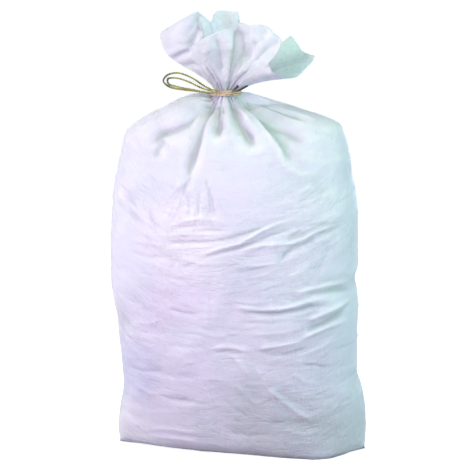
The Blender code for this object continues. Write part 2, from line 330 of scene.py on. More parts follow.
# ------------------------------------------------------------------ pleats and creases
# Each is a line in the 470 frame on the front, with its width in pixels and its height in millimetres: up is a ridge,
# down a valley. Each dies away over a share of its length at each end.
VALLEYS = (
    (((210, 97), (203, 104), (195, 111), (186, 123), (175, 128), (163, 132), (154, 140), (146, 148)), 6.6, -9.5),
    (((165, 138), (157, 151), (155, 160)), 4.6, -4.0),
    (((212, 97), (206, 111), (201, 128), (198.6, 142), (194, 155), (189.6, 169), (187.8, 186)), 4.8, -9.0),
    (((217, 96), (216.5, 110), (217.5, 120), (216.6, 129), (220, 141)), 6.0, -14.0),
    (((221, 97), (222, 103), (224, 112)), 2.6, -5.0),
    (((232, 97), (235.5, 106), (239, 120), (247, 133), (251.7, 142), (254, 153)), 6.8, -14.5),
    (((238, 97), (249, 105), (258, 110), (265, 117), (272.4, 123), (285, 128.5), (296, 136), (305, 143), (313, 153)), 7.0, -6.5),
    (((250, 97), (262, 99), (273, 104), (285, 109.6), (296, 115), (312, 123)), 3.2, -5.0),
    (((314, 130), (326, 133), (338, 136)), 3.0, -1.4),
    (((241, 91), (251, 92.6), (263, 96.5), (278, 103)), 2.6, -3.4),
    # the pouch under the right shoulder
    (((318, 138), (326, 150), (330, 162)), 9.0, -1.5),
    # the middle of the sack
    (((160, 239), (174, 243.5), (206, 243), (227, 239), (245, 234), (262, 228), (280, 221)), 2.0, -1.8),
    (((200, 260), (220, 253), (240, 248), (258, 240.5), (272, 234.5), (304, 226)), 2.2, -1.9),
    (((256, 251), (268, 248)), 2.4, -1.4),
    (((316, 239), (303, 244), (292, 248), (284, 256), (277, 266)), 3.6, -2.0),
    (((178, 269), (192, 264), (208, 257)), 2.4, -0.6),
    (((329, 240), (326, 256), (318, 270), (306, 282)), 4.6, -1.0),
    (((244, 277), (256, 275), (270, 271)), 2.6, -0.6),
    (((146, 244), (152, 247), (160, 250.5)), 2.2, -1.0),
    (((188, 232), (208, 230.5), (232, 231)), 2.0, -0.6),
    (((194, 213), (207, 211.5), (222, 212)), 2.2, -0.5),
    (((190, 194), (191, 222)), 2.4, -0.3),
    (((302, 295), (330, 291), (355, 288)), 2.4, -1.7),
    (((288, 301), (300, 300), (316, 296)), 3.4, -1.0),
    (((247, 313), (274, 314), (296, 311), (310, 306.5), (336, 304.5)), 2.8, -2.0),
    (((304, 332), (321, 325), (335, 318), (350, 304)), 3.0, -1.7),
    (((212, 353), (228, 351.5), (246, 355)), 2.6, -0.7),
    (((276, 356), (292, 353), (310, 347)), 2.6, -0.9),
    (((260.5, 350), (261.5, 372)), 3.4, -0.5),
    (((210, 276), (210, 292), (211, 312)), 2.0, -0.4),
    (((209, 308), (210, 336)), 2.0, -0.4),
    (((218, 366), (222, 396)), 3.0, -0.5),
    (((120, 406), (132, 415), (148, 422)), 3.4, -1.1),
    (((298, 364), (316, 365.5), (334, 369)), 2.8, -0.9),
    (((268, 425), (288, 421), (308, 424)), 5.0, -0.8),
    (((152, 301), (166, 299), (182, 299)), 3.4, -0.5),
    (((168, 308), (184, 313), (202, 315)), 3.2, -0.7),
    (((124, 364), (142, 371), (166, 371)), 4.0, -0.7),
    (((150, 391), (172, 399), (202, 402)), 4.0, -0.6),
)
RIDGES = (
    (((214, 98), (212.5, 113), (208, 126), (203, 144), (199, 166)), 3.4, 3.6),
    (((227, 98), (228, 112), (229, 133)), 4.0, 3.6),
    (((236, 99), (242, 109), (249, 121), (258, 138)), 3.4, 4.6),
    (((246, 103), (253, 111), (262, 122), (272, 135), (280, 148), (284, 160), (291, 170), (300, 174.5), (312, 174), (328, 170)), 3.6, 2.8),
    (((258, 99), (280, 110), (300, 121), (318, 128)), 4.0, 2.6),
    (((276, 103), (296, 111), (318, 121)), 2.4, 2.2),
    (((296, 194), (314, 185)), 3.0, 1.5),
    (((307, 206), (330, 194)), 2.6, 1.0),
    (((199, 256), (220, 249), (238, 244.5), (249, 239), (261.6, 231), (276, 225), (296, 218)), 2.1, 2.6),
    (((238, 251), (258, 246.4), (274, 244.6), (292, 243.7), (305, 239), (314, 232), (338, 224)), 2.1, 2.2),
    (((181, 265), (199, 260)), 3.0, 1.0),
    (((295, 294), (312, 289), (325, 286), (350, 281)), 2.2, 2.6),
    (((232, 307), (260, 310.5), (281, 309.6), (294, 307), (307, 302.4), (330, 298)), 2.1, 2.4),
    (((306, 322), (323, 314), (335, 308.7), (352, 298)), 2.2, 2.6),
    (((301, 339), (321, 329.4), (349, 319)), 2.1, 2.6),
    (((204, 348), (231, 347.4), (244, 350.5), (249, 358)), 2.2, 1.1),
    (((258, 348.5), (278, 346.5), (296, 343), (306, 339)), 2.8, 1.8),
    (((230, 354), (238, 361), (250, 378)), 2.6, 1.4),
    (((254, 365), (262, 376), (268, 390)), 3.0, 0.9),
    (((266, 388), (285, 403), (299.4, 414), (316, 423)), 2.8, 2.0),
    (((306, 419), (322, 415)), 3.0, 1.2),
    (((206, 300), (206, 332)), 2.0, 0.4),
    (((231, 380), (232, 410)), 2.2, 0.5),
    (((122, 412), (138, 428)), 3.2, 0.9),
    (((183, 362), (196, 363)), 2.0, 0.9),
    (((296, 363.5), (320, 363)), 2.8, 1.0),
    (((285, 384), (296, 385)), 2.6, 1.2),
    (((284, 392), (296, 392)), 2.6, 1.0),
    (((301, 399), (311, 395.5)), 3.0, 1.2),
    (((305, 251), (305, 290)), 1.8, 0.35),
    (((305, 306), (304.5, 336)), 1.8, 0.35),
    (((130, 321), (148, 324), (164, 318)), 3.2, 0.5),
    (((134, 382), (148, 393), (172, 396)), 3.2, 0.6),
    (((186, 404), (204, 406)), 3.4, 0.8),
    (((178, 298), (190, 308), (206, 310)), 2.8, 0.6),
    (((288, 278), (300, 272), (312, 262)), 4.0, 1.2),
)


# Steps: an edge with the cloth on one side of it (1 is the left of the way it runs, as seen with y down) set in, and
# rising again over so many pixels.
FOLDS = (
    (((238, 96), (246, 103), (253, 111), (262, 122), (272, 135), (280, 148), (286, 161), (292, 172)), -1, 24.0, -15.0),
    (((214, 97), (207, 110), (202, 126), (198, 146), (192, 166), (188, 184)), 1, 9.0, -3.0),
    (((231, 97), (234, 108), (240, 124), (248, 138), (253, 152)), 1, 9.0, -4.5),
    (((206, 98), (196, 108), (186, 119), (172, 127), (160, 132), (148, 146)), -1, 10.0, -3.5),
    (((203, 256), (222, 251), (242, 245.5), (258, 238), (272, 231.5), (300, 226)), -1, 16.0, -2.2),
    (((244, 250), (262, 247.5), (284, 246), (303, 241), (320, 233)), -1, 14.0, -1.8),
    (((240, 313), (262, 313.5), (282, 312), (300, 308), (330, 302)), -1, 12.0, -2.0),
    (((300, 295), (320, 291), (350, 286)), -1, 9.0, -2.2),
    (((306, 334), (324, 326), (348, 314)), -1, 10.0, -2.2),
    (((212, 349), (232, 350), (246, 356), (258, 376)), -1, 12.0, -1.1),
    (((262, 352), (284, 349), (306, 343)), -1, 10.0, -1.4),
    (((272, 396), (286, 407), (302, 418)), -1, 10.0, -2.0),
    (((162, 246), (186, 247), (214, 246)), -1, 10.0, -1.2),
    (((130, 330), (148, 336), (170, 334)), -1, 9.0, -1.0),
    (((150, 372), (176, 380), (206, 378)), -1, 12.0, -1.2),
    (((126, 402), (150, 411), (180, 410)), -1, 12.0, -0.8),
    (((316, 196), (332, 190), (344, 180)), -1, 9.0, -1.2),
    (((290, 206), (312, 200), (334, 190)), -1, 10.0, -1.2),
)
# fine lines that fan out of the shoulder's middle and run in the weave's two directions
FINE = tuple((line, wide, high) for line, wide, high in (
    (((176, 176), (184, 198), (190, 224)), 1.8, 0.8), (((184, 178), (188, 200), (192, 226)), 1.6, -0.8), (((193, 176), (193, 200), (196, 222)), 1.8, 0.9),
    (((203, 176), (199, 198), (198, 218)), 1.6, -0.8), (((213, 174), (206, 196), (202, 214)), 1.8, 0.8), (((165, 184), (176, 206), (184, 222)), 1.6, 0.6),
    (((150, 196), (166, 214), (180, 226)), 1.8, -0.6), (((176, 222), (200, 219), (226, 221)), 1.6, 0.8), (((170, 229), (198, 226), (232, 227)), 1.6, -0.7),
    (((166, 236), (196, 234), (226, 235)), 1.6, 0.7), (((130, 238), (146, 244), (164, 246)), 1.8, 0.8), (((128, 250), (150, 258), (176, 258)), 1.8, -0.8),
    (((200, 240), (232, 238), (262, 230)), 1.5, 0.8), (((236, 258), (262, 256), (286, 251)), 1.8, -0.8), (((232, 266), (256, 266), (284, 262)), 1.8, 0.7),
    (((240, 282), (260, 280), (276, 282)), 1.8, -0.8), (((226, 300), (250, 303), (276, 301)), 1.8, 0.8), (((240, 322), (270, 324), (298, 320)), 1.8, -0.8),
    (((250, 334), (278, 334), (304, 327)), 1.8, 0.8), (((180, 258), (200, 264), (222, 262)), 1.8, 0.7), (((160, 276), (184, 281), (206, 279)), 1.8, -0.6),
    (((196, 330), (214, 336), (236, 335)), 1.8, 0.6), (((166, 344), (190, 348), (210, 346)), 1.8, -0.6), (((236, 384), (248, 398), (262, 408)), 2.0, 0.9),
    (((148, 435), (165, 437.6), (184, 439.6), (206, 443)), 1.5, 0.9), (((222, 398), (238, 412), (254, 420)), 2.0, -0.8), (((290, 372), (306, 382), (322, 384)), 2.0, 0.8), (((312, 392), (328, 398), (344, 396)), 2.0, -0.8),
    (((282, 430), (302, 434), (328, 432)), 2.2, 0.9), (((150, 428), (176, 430), (206, 434)), 2.2, 0.8), (((226, 432), (250, 436), (276, 434)), 2.2, -0.8),
))


CROWN_VALLEYS = (
    (((205, 20), (198, 32), (191, 44), (186, 54)), 4.2, -6.0),
    (((171, 60), (180, 54.5), (192, 51.5)), 3.0, -6.0),
    (((180, 67.5), (190, 65), (200, 66)), 2.8, -3.6),
    (((217, 42), (219, 50), (221.5, 62), (223, 80)), 3.4, -3.2),
    (((239, 36), (240.5, 46), (243, 56), (245, 66)), 6.6, -6.5),
    (((262, 64), (272, 72)), 2.6, -3.0),
    (((247, 34), (250, 52), (249, 66)), 4.0, -2.6),
)
CROWN_RIDGES = (
    (((225.5, 86), (228, 66), (230.5, 48), (231, 31)), 3.8, 4.5),
    (((228, 81), (243, 70), (261, 62), (272, 48), (277, 40)), 4.2, 4.0),
    (((184, 20), (177, 34), (171, 48)), 6.5, 3.0),
    (((170, 55), (180, 49.5), (193, 47)), 3.0, 3.0),
    (((190, 31), (196, 22), (204, 17)), 3.4, -3.6),
    (((254, 58), (259, 44), (262, 29)), 5.5, 3.0),
    (((208, 80), (204, 60), (208, 40), (212, 30)), 4.5, 2.5),
)


def line_relief(x, y, lines, sharp=1.5):
    """Height in metres at places x, y of the frame from these lines, each dying away at its ends."""
    total = np.zeros(x.shape)
    for line, width, high in lines:
        line = np.asarray(line, float)
        long = np.linalg.norm(np.diff(line, axis=0), axis=1).sum()
        high = high * (1.25 + 0.70 * float(steps(np.array(long), 22.0, 48.0)) if line[0][1] > 188 else 1.25)
        lo, hi = line.min(0) - 3.2 * width, line.max(0) + 3.2 * width
        near = (x > lo[0]) & (x < hi[0]) & (y > lo[1]) & (y < hi[1])
        if not near.any():
            continue
        d, share, _ = to_line(x[near], y[near], line)
        ends = steps(share, -0.02, 0.18) * steps(1 - share, -0.02, 0.30)
        ends = np.where((line[0][1] < 99.5), steps(1 - share, -0.02, 0.35), ends)
        total[near] += high * 1e-3 * np.exp(-((d / width) ** sharp)) * ends
    return total


def fold_relief(x, y, folds):
    """The set-in side of each fold's edge."""
    total = np.zeros(x.shape)
    for line, way, reach, high in folds:
        line = np.asarray(line, float)
        lo, hi = line.min(0) - 3.0 * reach, line.max(0) + 3.0 * reach
        near = (x > lo[0]) & (x < hi[0]) & (y > lo[1]) & (y < hi[1])
        if not near.any():
            continue
        d, share, side = to_line(x[near], y[near], line)
        inside = d * side * way
        over = steps(inside, -1.6, 2.2) * np.exp(-(np.clip(inside, 0, None) / reach) ** 1.3)
        ends = steps(share, -0.01, 0.22) * steps(1 - share, -0.01, 0.28)
        if line[0][1] < 99.5:
            ends = steps(1 - share, -0.01, 0.35)
        total[near] += high * 1e-3 * over * ends
    return total


n0 = normals(grid)
px, py = seen(grid)
rows = np.arange(len(grid))[:, None] + 0 * px
is_body = rows <= NECK_ROW
turned = np.clip(-(n0 @ -BACK), 0, 1)                      # how far each part faces the camera
facing = steps(turned, 0.04, 0.30) * is_body
relief = line_relief(px, py, VALLEYS) + line_relief(px, py, RIDGES) + line_relief(px, py, FINE) + fold_relief(px, py, FOLDS)
from_neck = np.linalg.norm(grid - NECK, axis=2)
relief = relief * facing * steps(from_neck, 0.012, 0.045)
front_cloth = (np.arange(COLS) >= BACK_COLS)[None, :] & (rows > NECK_ROW)
frill_facing = steps(turned, 0.04, 0.30) * front_cloth
relief = relief + (line_relief(px, py, CROWN_VALLEYS) + line_relief(px, py, CROWN_RIDGES)) * frill_facing * steps(from_neck, 0.02, 0.05)

# pleats that the photograph doesn't show, round the back and close in to the neck
rng = np.random.default_rng(7)
turn = (angles / (2 * math.pi))[None, :] + 0 * px
pleat_list = []
for k in range(13):
    pleat_list.append(((k + 0.5 + rng.uniform(-0.3, 0.3)) / 26, rng.uniform(0.10, 0.17), rng.uniform(4.0, 7.0), rng.uniform(0.006, 0.011), rng.uniform(-0.012, 0.012)))
back_relief = np.zeros_like(px)
for at, reach, deep, width, drift in pleat_list:
    gap = np.abs(turn - at - drift * np.clip(from_neck / reach, 0, 1.5))
    back_relief -= deep * 1e-3 * np.exp(-((gap / (width * (0.7 + from_neck / reach))) ** 1.6)) * (1 - steps(from_neck, reach * 0.45, reach))
behind = steps(grid[..., 1], 0.0, 0.03) * is_body
relief += back_relief * behind * steps(from_neck, 0.012, 0.04)

# creases like the front's, round the sides and the back, and a few small ones on the front: as (place round, height)
def creases(count, seed, wide, high, long_by=(0.02, 0.10), thin=(0.0022, 0.0042), sweep=0.0):
    """Random short creases: mostly level, bowed, in clusters, as lines in metres round and up the sack."""
    rng = np.random.default_rng(seed)
    out = []
    while len(out) < count:
        cu, cv = rng.uniform(*wide), rng.uniform(0.03, 0.50)
        lean = rng.normal(0, 0.30) if not sweep else sweep * (cu - wide[0]) / (wide[1] - wide[0]) + rng.normal(0, 0.10)
        for _ in range(rng.integers(2, 5)):
            q = lean + rng.normal(0, 0.14)
            long = rng.uniform(*long_by)
            u0, v0 = cu + rng.normal(0, 0.022), cv + rng.normal(0, 0.013)
            bow = rng.normal(0, 0.08) * long
            d, n = np.array((math.cos(q), math.sin(q))), np.array((-math.sin(q), math.cos(q)))
            pts = [np.array((u0, v0)) + d * (k - 0.5) * long + n * bow * (1 - (2 * k - 1) ** 2) for k in (0, 0.25, 0.5, 0.75, 1)]
            size = rng.uniform(*high)
            out.append((pts, rng.uniform(*thin), size * (1 if rng.random() < 0.6 else -0.8)))
            if rng.random() < 0.6:
                side = n * rng.uniform(1.9, 2.3) * thin[0]
                out.append(([q + side for q in pts], thin[1], -0.7 * size))
    return out


def metre_relief(u, v, lines):
    total = np.zeros(u.shape)
    for line, width, high in lines:
        line = np.asarray(line)
        lo, hi = line.min(0) - 3 * width, line.max(0) + 3 * width
        near = (u > lo[0]) & (u < hi[0]) & (v > lo[1]) & (v < hi[1])
        if near.any():
            d, share, _ = to_line(u[near], v[near], line)
            total[near] += high * 1e-3 * np.exp(-((d / width) ** 1.5)) * steps(share, -0.02, 0.3) * steps(1 - share, -0.02, 0.3)
    return total


round_u = around_m[None, :] + 0 * px
height_v = grid[..., 2]
side_part = (1 - facing) * is_body * steps(0.53 - height_v, 0, 0.04)
lines = creases(150, 41, (-0.02, 0.56), (0.9, 2.6)) + creases(24, 43, (0.88, 1.02), (0.7, 2.0))
relief += metre_relief(round_u, height_v, lines) * side_part
relief += metre_relief(round_u, height_v, creases(110, 47, (0.50, 1.00), (0.3, 0.9), (0.04, 0.15), (0.0024, 0.0034), 0.34)) * (0.35 + 0.65 * steps(grid[..., 0], -0.12, 0.02)) * facing * steps(0.47 - height_v, 0, 0.06)

# hairlines, too fine for the mesh: their heights in millimetres go to the material
def hairlines(seed):
    """Fine lines of the front in the 470 frame: (line, width in pixels, height in millimetres)."""
    rng = np.random.default_rng(seed)
    out = []

    def add(x, y, way, long, bow=0.0, wide=(1.5, 2.1), high=(0.30, 0.75)):
        d, n = np.array((math.cos(way), math.sin(way))), np.array((-math.sin(way), math.cos(way)))
        pts = [np.array((x, y)) + d * (k - 0.5) * long + n * bow * (1 - (2 * k - 1) ** 2) for k in (0, 0.25, 0.5, 0.75, 1)]
        out.append((pts, rng.uniform(*wide), rng.uniform(*high) * (-1 if rng.random() < 0.6 else 1)))

    for _ in range(30):                                     # a fan below the left pleats
        q, r = math.radians(rng.uniform(58, 132)), rng.uniform(24, 62)
        add(199 + r * math.cos(q), 160 + r * math.sin(q), q + rng.normal(0, 0.06), rng.uniform(18, 44), rng.normal(0, 1.2), high=(0.5, 1.1))
    for _ in range(22):                                     # strands down the left side
        k = rng.random()
        add(124 + 30 * k + rng.normal(0, 4), 205 + 26 * k + rng.normal(0, 10), math.radians(52 + 14 * rng.normal(0, 0.6)), rng.uniform(22, 50), rng.uniform(-3, 0.5), high=(0.4, 0.9))
    for _ in range(26):                                     # strokes on the right
        add(rng.uniform(282, 346), rng.uniform(176, 240), math.radians(rng.normal(-30, 7)), rng.uniform(12, 38), rng.normal(0, 1.5))
    for _ in range(44):                                     # along the long creases of the middle
        x, y = rng.uniform(140, 340), rng.uniform(214, 282)
        add(x, y, math.radians(rng.normal(4 - 22 * (x - 140) / 200, 6)), rng.uniform(20, 60), rng.uniform(-0.5, 3))
    for _ in range(60):                                     # the lower right
        x, y = rng.uniform(205, 350), rng.uniform(282, 405)
        add(x, y, math.radians(rng.normal(6 - 26 * (x - 205) / 145, 8)), rng.uniform(14, 48), rng.normal(1, 1.5))
    for _ in range(34):                                     # bowed lines of the lower left
        add(rng.uniform(118, 236), rng.uniform(300, 424), math.radians(rng.normal(6, 9)), rng.uniform(18, 54), rng.uniform(-4, 0), high=(0.2, 0.5))
    for _ in range(22):                                     # level ones near the bottom
        add(rng.uniform(136, 340), rng.uniform(420, 446), math.radians(rng.normal(3, 3)), rng.uniform(24, 60), rng.normal(0, 1), high=(0.2, 0.5))
    # the drawn creases' own sharp edges
    for table, high in ((VALLEYS, -1.0), (RIDGES, 0.7)):
        for line, _, _ in table:
            if line[0][1] > 188 and abs(line[0][0] - line[-1][0]) > 30:
                out.append((line, 1.5, high))
    return out


def hair_relief(x, y, lines):
    total = np.zeros(x.shape)
    for line, width, high in lines:
        line = np.asarray(line)
        lo, hi = line.min(0) - 2.6 * width, line.max(0) + 2.6 * width
        near = (x > lo[0]) & (x < hi[0]) & (y > lo[1]) & (y < hi[1])
        if near.any():
            d, share, _ = to_line(x[near], y[near], line)
            total[near] += high * np.exp(-((d / width) ** 2)) * steps(share, -0.02, 0.35) * steps(1 - share, -0.02, 0.35)
    return total


hairs_front = hair_relief(px, py, hairlines(61)) * facing
hairs_side = metre_relief(round_u, height_v, creases(150, 63, (-0.02, 1.02), (0.25, 0.6), (0.03, 0.11), (0.0026, 0.0034))) * 1e3 * (1 - facing) * is_body
hairs_crown = hair_relief(px, py, [(line, 1.8, -0.5) for line in (
    ((176, 30), (188, 36), (198, 34)), ((172, 40), (184, 44), (196, 42)), ((192, 48), (204, 44), (214, 38)), ((196, 58), (208, 54), (216, 48)),
    ((250, 34), (256, 44), (254, 58)), ((262, 34), (266, 44), (262, 58)), ((246, 46), (258, 42), (268, 36)), ((206, 60), (212, 70), (218, 82)),
    ((248, 74), (262, 68), (276, 66)), ((256, 80), (272, 76), (288, 76)), ((180, 58), (192, 62), (204, 70)), ((214, 26), (222, 32), (224, 44)),
    ((270, 50), (276, 58), (274, 68)), ((232, 84), (240, 76), (252, 72)))]) * (rows > NECK_ROW)
hairs = hairs_front + hairs_side + hairs_crown


# the neck: gathered into many narrow folds, as deep as they are close
folds = np.zeros(COLS)
count = 21
marks = (np.arange(count) + rng.uniform(-0.28, 0.28, count)) / count
for m in marks:
    gap = np.abs((turn[0] - m + 0.5) % 1.0 - 0.5)
    folds = np.maximum(folds, np.exp(-((gap / 0.0085) ** 1.7)))
close = np.exp(-((from_neck / 0.042) ** 2))
pull = 0.42 * folds[None, :] * close * (0.35 + 0.65 * steps(from_neck, 0.0, 0.02) + 0.35 * (1 - steps(from_neck, 0.0, 0.02)))
flat = np.stack([np.full_like(px, NECK_X), np.zeros_like(px), grid[..., 2]], -1)
shaped = grid + n0 * relief[..., None]
shaped = shaped + (flat - shaped) * (pull * steps(NECK_R * 3.4 - np.hypot(shaped[..., 0] - NECK_X, shaped[..., 1]), 0, 0.03))[..., None]


# ------------------------------------------------------------------ the cloth settles
def settle(p, more_u, more_v, hold, fixed, rounds, stiff, push=0.0):
    """Lets the cloth find its own small folds. Its threads are longer than the smooth form needs by more_u and
    more_v, it is held softly to the form, and it doesn't stretch or fold sharply."""
    form = p.copy()
    free = (1.0 - fixed)[..., None]
    lu = np.linalg.norm(np.roll(p, -1, 1) - p, axis=2) * (1 + more_u)
    lv = np.linalg.norm(p[1:] - p[:-1], axis=2) * (1 + 0.5 * (more_v[1:] + more_v[:-1]))
    ld = np.linalg.norm(np.roll(p, -1, 1)[1:] - p[:-1], axis=2) * (1 + 0.35 * (more_u + more_v)[1:])
    le = np.linalg.norm(p[1:] - np.roll(p, -1, 1)[:-1], axis=2) * (1 + 0.35 * (more_u + more_v)[1:])

    def laplace(q):
        out = (np.roll(q, -1, 1) + np.roll(q, 1, 1)) * 0.25 - q * 0.5
        out[1:-1] += (q[2:] + q[:-2]) * 0.25 - q[1:-1] * 0.5
        return out

    lap0 = laplace(form)

    def pull(a, b, length, share):
        d = b - a
        r = np.sqrt((d * d).sum(-1, keepdims=True)) + 1e-9
        return d * (share * (1 - length[..., None] / r))

    speed = np.zeros_like(p)
    for k in range(rounds):
        before = p.copy()
        p = p + speed * 0.92
        if push:
            p = p + normals(p) * push * free
        p = p + (form - p) * hold[..., None]
        p = p + (laplace(p) - lap0) * stiff
        for c in (0, 1):
            a, b = p[:, c::2], np.roll(p, -1, 1)[:, c::2]
            move = pull(a, b, lu[:, c::2], 0.5)
            a += move
            idx = (np.arange(c, p.shape[1], 2) + 1) % p.shape[1]
            p[:, idx] -= move
        for c in (0, 1):
            last = p.shape[0] - 1
            i = np.arange(c, last, 2)
            move = pull(p[i], p[i + 1], lv[i], 0.5)
            p[i] += move
            p[i + 1] -= move
        shift = np.roll(p, -1, 1)
        m1 = pull(p[:-1], shift[1:], ld, 0.12)
        m2 = pull(shift[:-1], p[1:], le, 0.12)
        p[:-1] += m1
        p[1:] -= np.roll(m1, 1, 1)
        p[:-1] += np.roll(m2, 1, 1)
        p[1:] -= m2
        p = before + (p - before) * free
        p[..., 2] = np.maximum(p[..., 2], np.minimum(form[..., 2], 0.0012))
        speed = p - before
    return p


z = shaped[..., 2]
patch = np.clip(0.5 + 0.75 * waves(shaped, 0.16, 11), 0, 1.4)
patch_u = np.clip(0.5 + 0.75 * waves(shaped * np.array((1, 1, 0.6)), 0.13, 12), 0, 1.4)
calm = 1 - 0.75 * steps(z, 0.36, 0.44) * facing            # the front's shoulders are drawn smooth
more_v = (0.0004 + 0.0030 * patch) * calm * is_body + 0.003 * (1 - is_body)
more_u = (0.0004 + 0.0022 * patch_u) * calm * is_body + 0.005 * (1 - is_body)
hold = np.where(is_body, 0.014, 0.04) + 0.25 * (1 - steps(from_neck, 0.02, 0.05))
fixed = np.maximum((z < 0.0016).astype(float), 1 - steps(from_neck, 0.018, 0.03))
start = shaped + n0 * ((0.0011 * waves(shaped, 0.12, 20) * is_body + 0.00016 * waves(shaped, 0.022, 21)) * (1 - fixed))[..., None]
grid = settle(start, more_u, more_v, hold, fixed, 60, 0.10)


# ------------------------------------------------------------------ the cloth's mesh
def new_mesh(name, verts, faces, uv=None, values=None):
    """An object from points and faces; uv holds a pair for each corner, values a number for each point."""
    mesh = bpy.data.meshes.new(name)
    mesh.from_pydata([tuple(v) for v in verts], [], [tuple(f) for f in faces])
    if uv is not None:
        layer = mesh.uv_layers.new(name="cloth")
        layer.data.foreach_set("uv", np.concatenate(uv).ravel())
    for key, data in (values or {}).items():
        mesh.attributes.new(key, "FLOAT", "POINT").data.foreach_set("value", np.asarray(data, np.float32))
    mesh.update()
    mesh.shade_smooth()
    obj = bpy.data.objects.new(name, mesh)
    bpy.context.scene.collection.objects.link(obj)
    return obj


def blur(f, times):
    for _ in range(times):
        up = np.vstack([f[1:], f[-1:]])
        down = np.vstack([f[:1], f[:-1]])
        f = 0.2 * (f + up + down + np.roll(f, 1, 1) + np.roll(f, -1, 1))
    return f


def cloth_mesh(name, p, u, v, fine):
    """The sack as one closed mesh: the outside from the seam under the foot to the mouth's edge, the inside from
    there down to the neck, a pinched floor in the neck, and the seam closed between front and back."""
    rows, cols = p.shape[:2]
    n = normals(p)
    # how far each part stands out of its surroundings; the material paints a highlight on what stands out and shade in
    # what sinks in
    rel = ((p - np.stack([blur(p[..., k], 14) for k in range(3)], -1)) * n).sum(-1)
    rel[:2] = 0
    rel[-2:] = 0
    wide = ((p - np.stack([blur(p[..., k], 90) for k in range(3)], -1)) * n).sum(-1)
    wide = (wide - blur(wide, 400)) * steps(p[..., 2], 0.02, 0.05)
    wide[-6:] = 0
    wide[NECK_ROW + 1:] *= 0.35                             # the frill's hollows get less painted shade
    j = np.arange(cols)
    k = np.roll(j, -1)
    nxt = np.concatenate([u[1:], [girth]])
    verts = [p.reshape(-1, 3)]
    crease = [rel.ravel()]
    hollow = [wide.ravel()]
    inside = [np.zeros(rows * cols)]
    hair = [fine.ravel()]
    faces, uvs = [], []
    for r in range(rows - 1):
        for a, b in zip(j, k):
            faces.append((r * cols + a, r * cols + b, (r + 1) * cols + b, (r + 1) * cols + a))
            uvs.append(((u[a], v[r]), (nxt[a], v[r]), (nxt[a], v[r + 1]), (u[a], v[r + 1])))
    # the inside of the frill
    base = rows * cols
    low = NECK_ROW + 3
    inner_rows = list(range(rows - 1, low - 1, -1))
    for i, r in enumerate(inner_rows):
        thick = 0.0005 * (0.5 + 0.5 * min(1.0, (r - low) / 12.0))
        verts.append(p[r] - n[r] * thick)
        crease.append(-rel[r])
        hollow.append(0 * rel[r])
        inside.append(np.ones(cols))
        hair.append(-fine[r])
    for a, b in zip(j, k):
        faces.append(((rows - 1) * cols + a, (rows - 1) * cols + b, base + b, base + a))
        uvs.append(((u[a], v[rows - 1]), (nxt[a], v[rows - 1]), (nxt[a], v[rows - 1] + 0.0005), (u[a], v[rows - 1] + 0.0005)))
    for i in range(len(inner_rows) - 1):
        r = inner_rows[i]
        for a, b in zip(j, k):
            faces.append((base + i * cols + a, base + i * cols + b, base + (i + 1) * cols + b, base + (i + 1) * cols + a))
            uvs.append(((u[a], v[r]), (nxt[a], v[r]), (nxt[a], v[r - 1]), (u[a], v[r - 1])))
    last = base + (len(inner_rows) - 1) * cols
    tip = base + len(inner_rows) * cols
    middle = (p[low] - n[low] * 0.00025).mean(0) + np.array((0, 0, -0.002))
    verts.append(middle[None])
    crease.append([0.0])
    # the neck's pinched floor gets the wide hollows' full painted shade
    hollow.append([-0.004])
    inside.append([1.0])
    hair.append([0.0])
    for a, b in zip(j, k):
        faces.append((last + a, last + b, tip))
        uvs.append(((u[a], v[low]), (nxt[a], v[low]), ((u[a] + nxt[a]) / 2, v[low] - 0.01)))
    # under the foot: front and back are joined along the seam
    back = list(range(0, BACK_COLS + 1))
    front = [0] + list(range(cols - 1, BACK_COLS - 1, -1))
    i = f = 0
    while i < len(back) - 1 or f < len(front) - 1:
        bx = p[0, back[i + 1], 0] if i < len(back) - 1 else -9.0
        fx = p[0, front[f + 1], 0] if f < len(front) - 1 else -9.0
        if bx >= fx:
            tri = (back[i], front[f], back[i + 1])
            i += 1
        else:
            tri = (back[i], front[f], front[f + 1])
            f += 1
        if len(set(tri)) < 3:
            continue
        faces.append(tri)
        uvs.append(tuple((u[c] if c != 0 else 0.0, -0.002 if c in back else 0.0) for c in tri))
    verts = np.concatenate(verts)
    crease, inside = np.concatenate(crease), np.concatenate(inside)
    hollow = np.concatenate(hollow)
    return new_mesh(name, verts, faces, uvs, {"crease": np.clip(crease * 1000, -6, 6), "hollow": np.clip(hollow * 1000, -8, 8), "inside": inside, "hairline": np.concatenate(hair)})


length = float(body_len.mean())
along = np.concatenate([np.linspace(0, length, NECK_ROW + 1), length + float(crown_len.mean()) * np.arange(1, CROWN_ROWS + 1 + 1) / (CROWN_ROWS + 1)])
sack = cloth_mesh("sack_cloth", grid, around_m, along[: len(grid)], hairs)


# ------------------------------------------------------------------ the twine
TWINE_D = 0.0034


def around(angle, clear, z):
    """A point beside the neck, where it is clear of the neck's side by that much; 0 degrees is the front."""
    q = math.radians(angle)
    r = NECK_R + clear + (math.tan(math.radians(22 + 42 * max(0.0, math.sin(-q)))) * z if z > 0 else 0.0)
    return np.array((NECK_X + r * math.sin(q), -r * math.cos(q), TIE_Z + z))


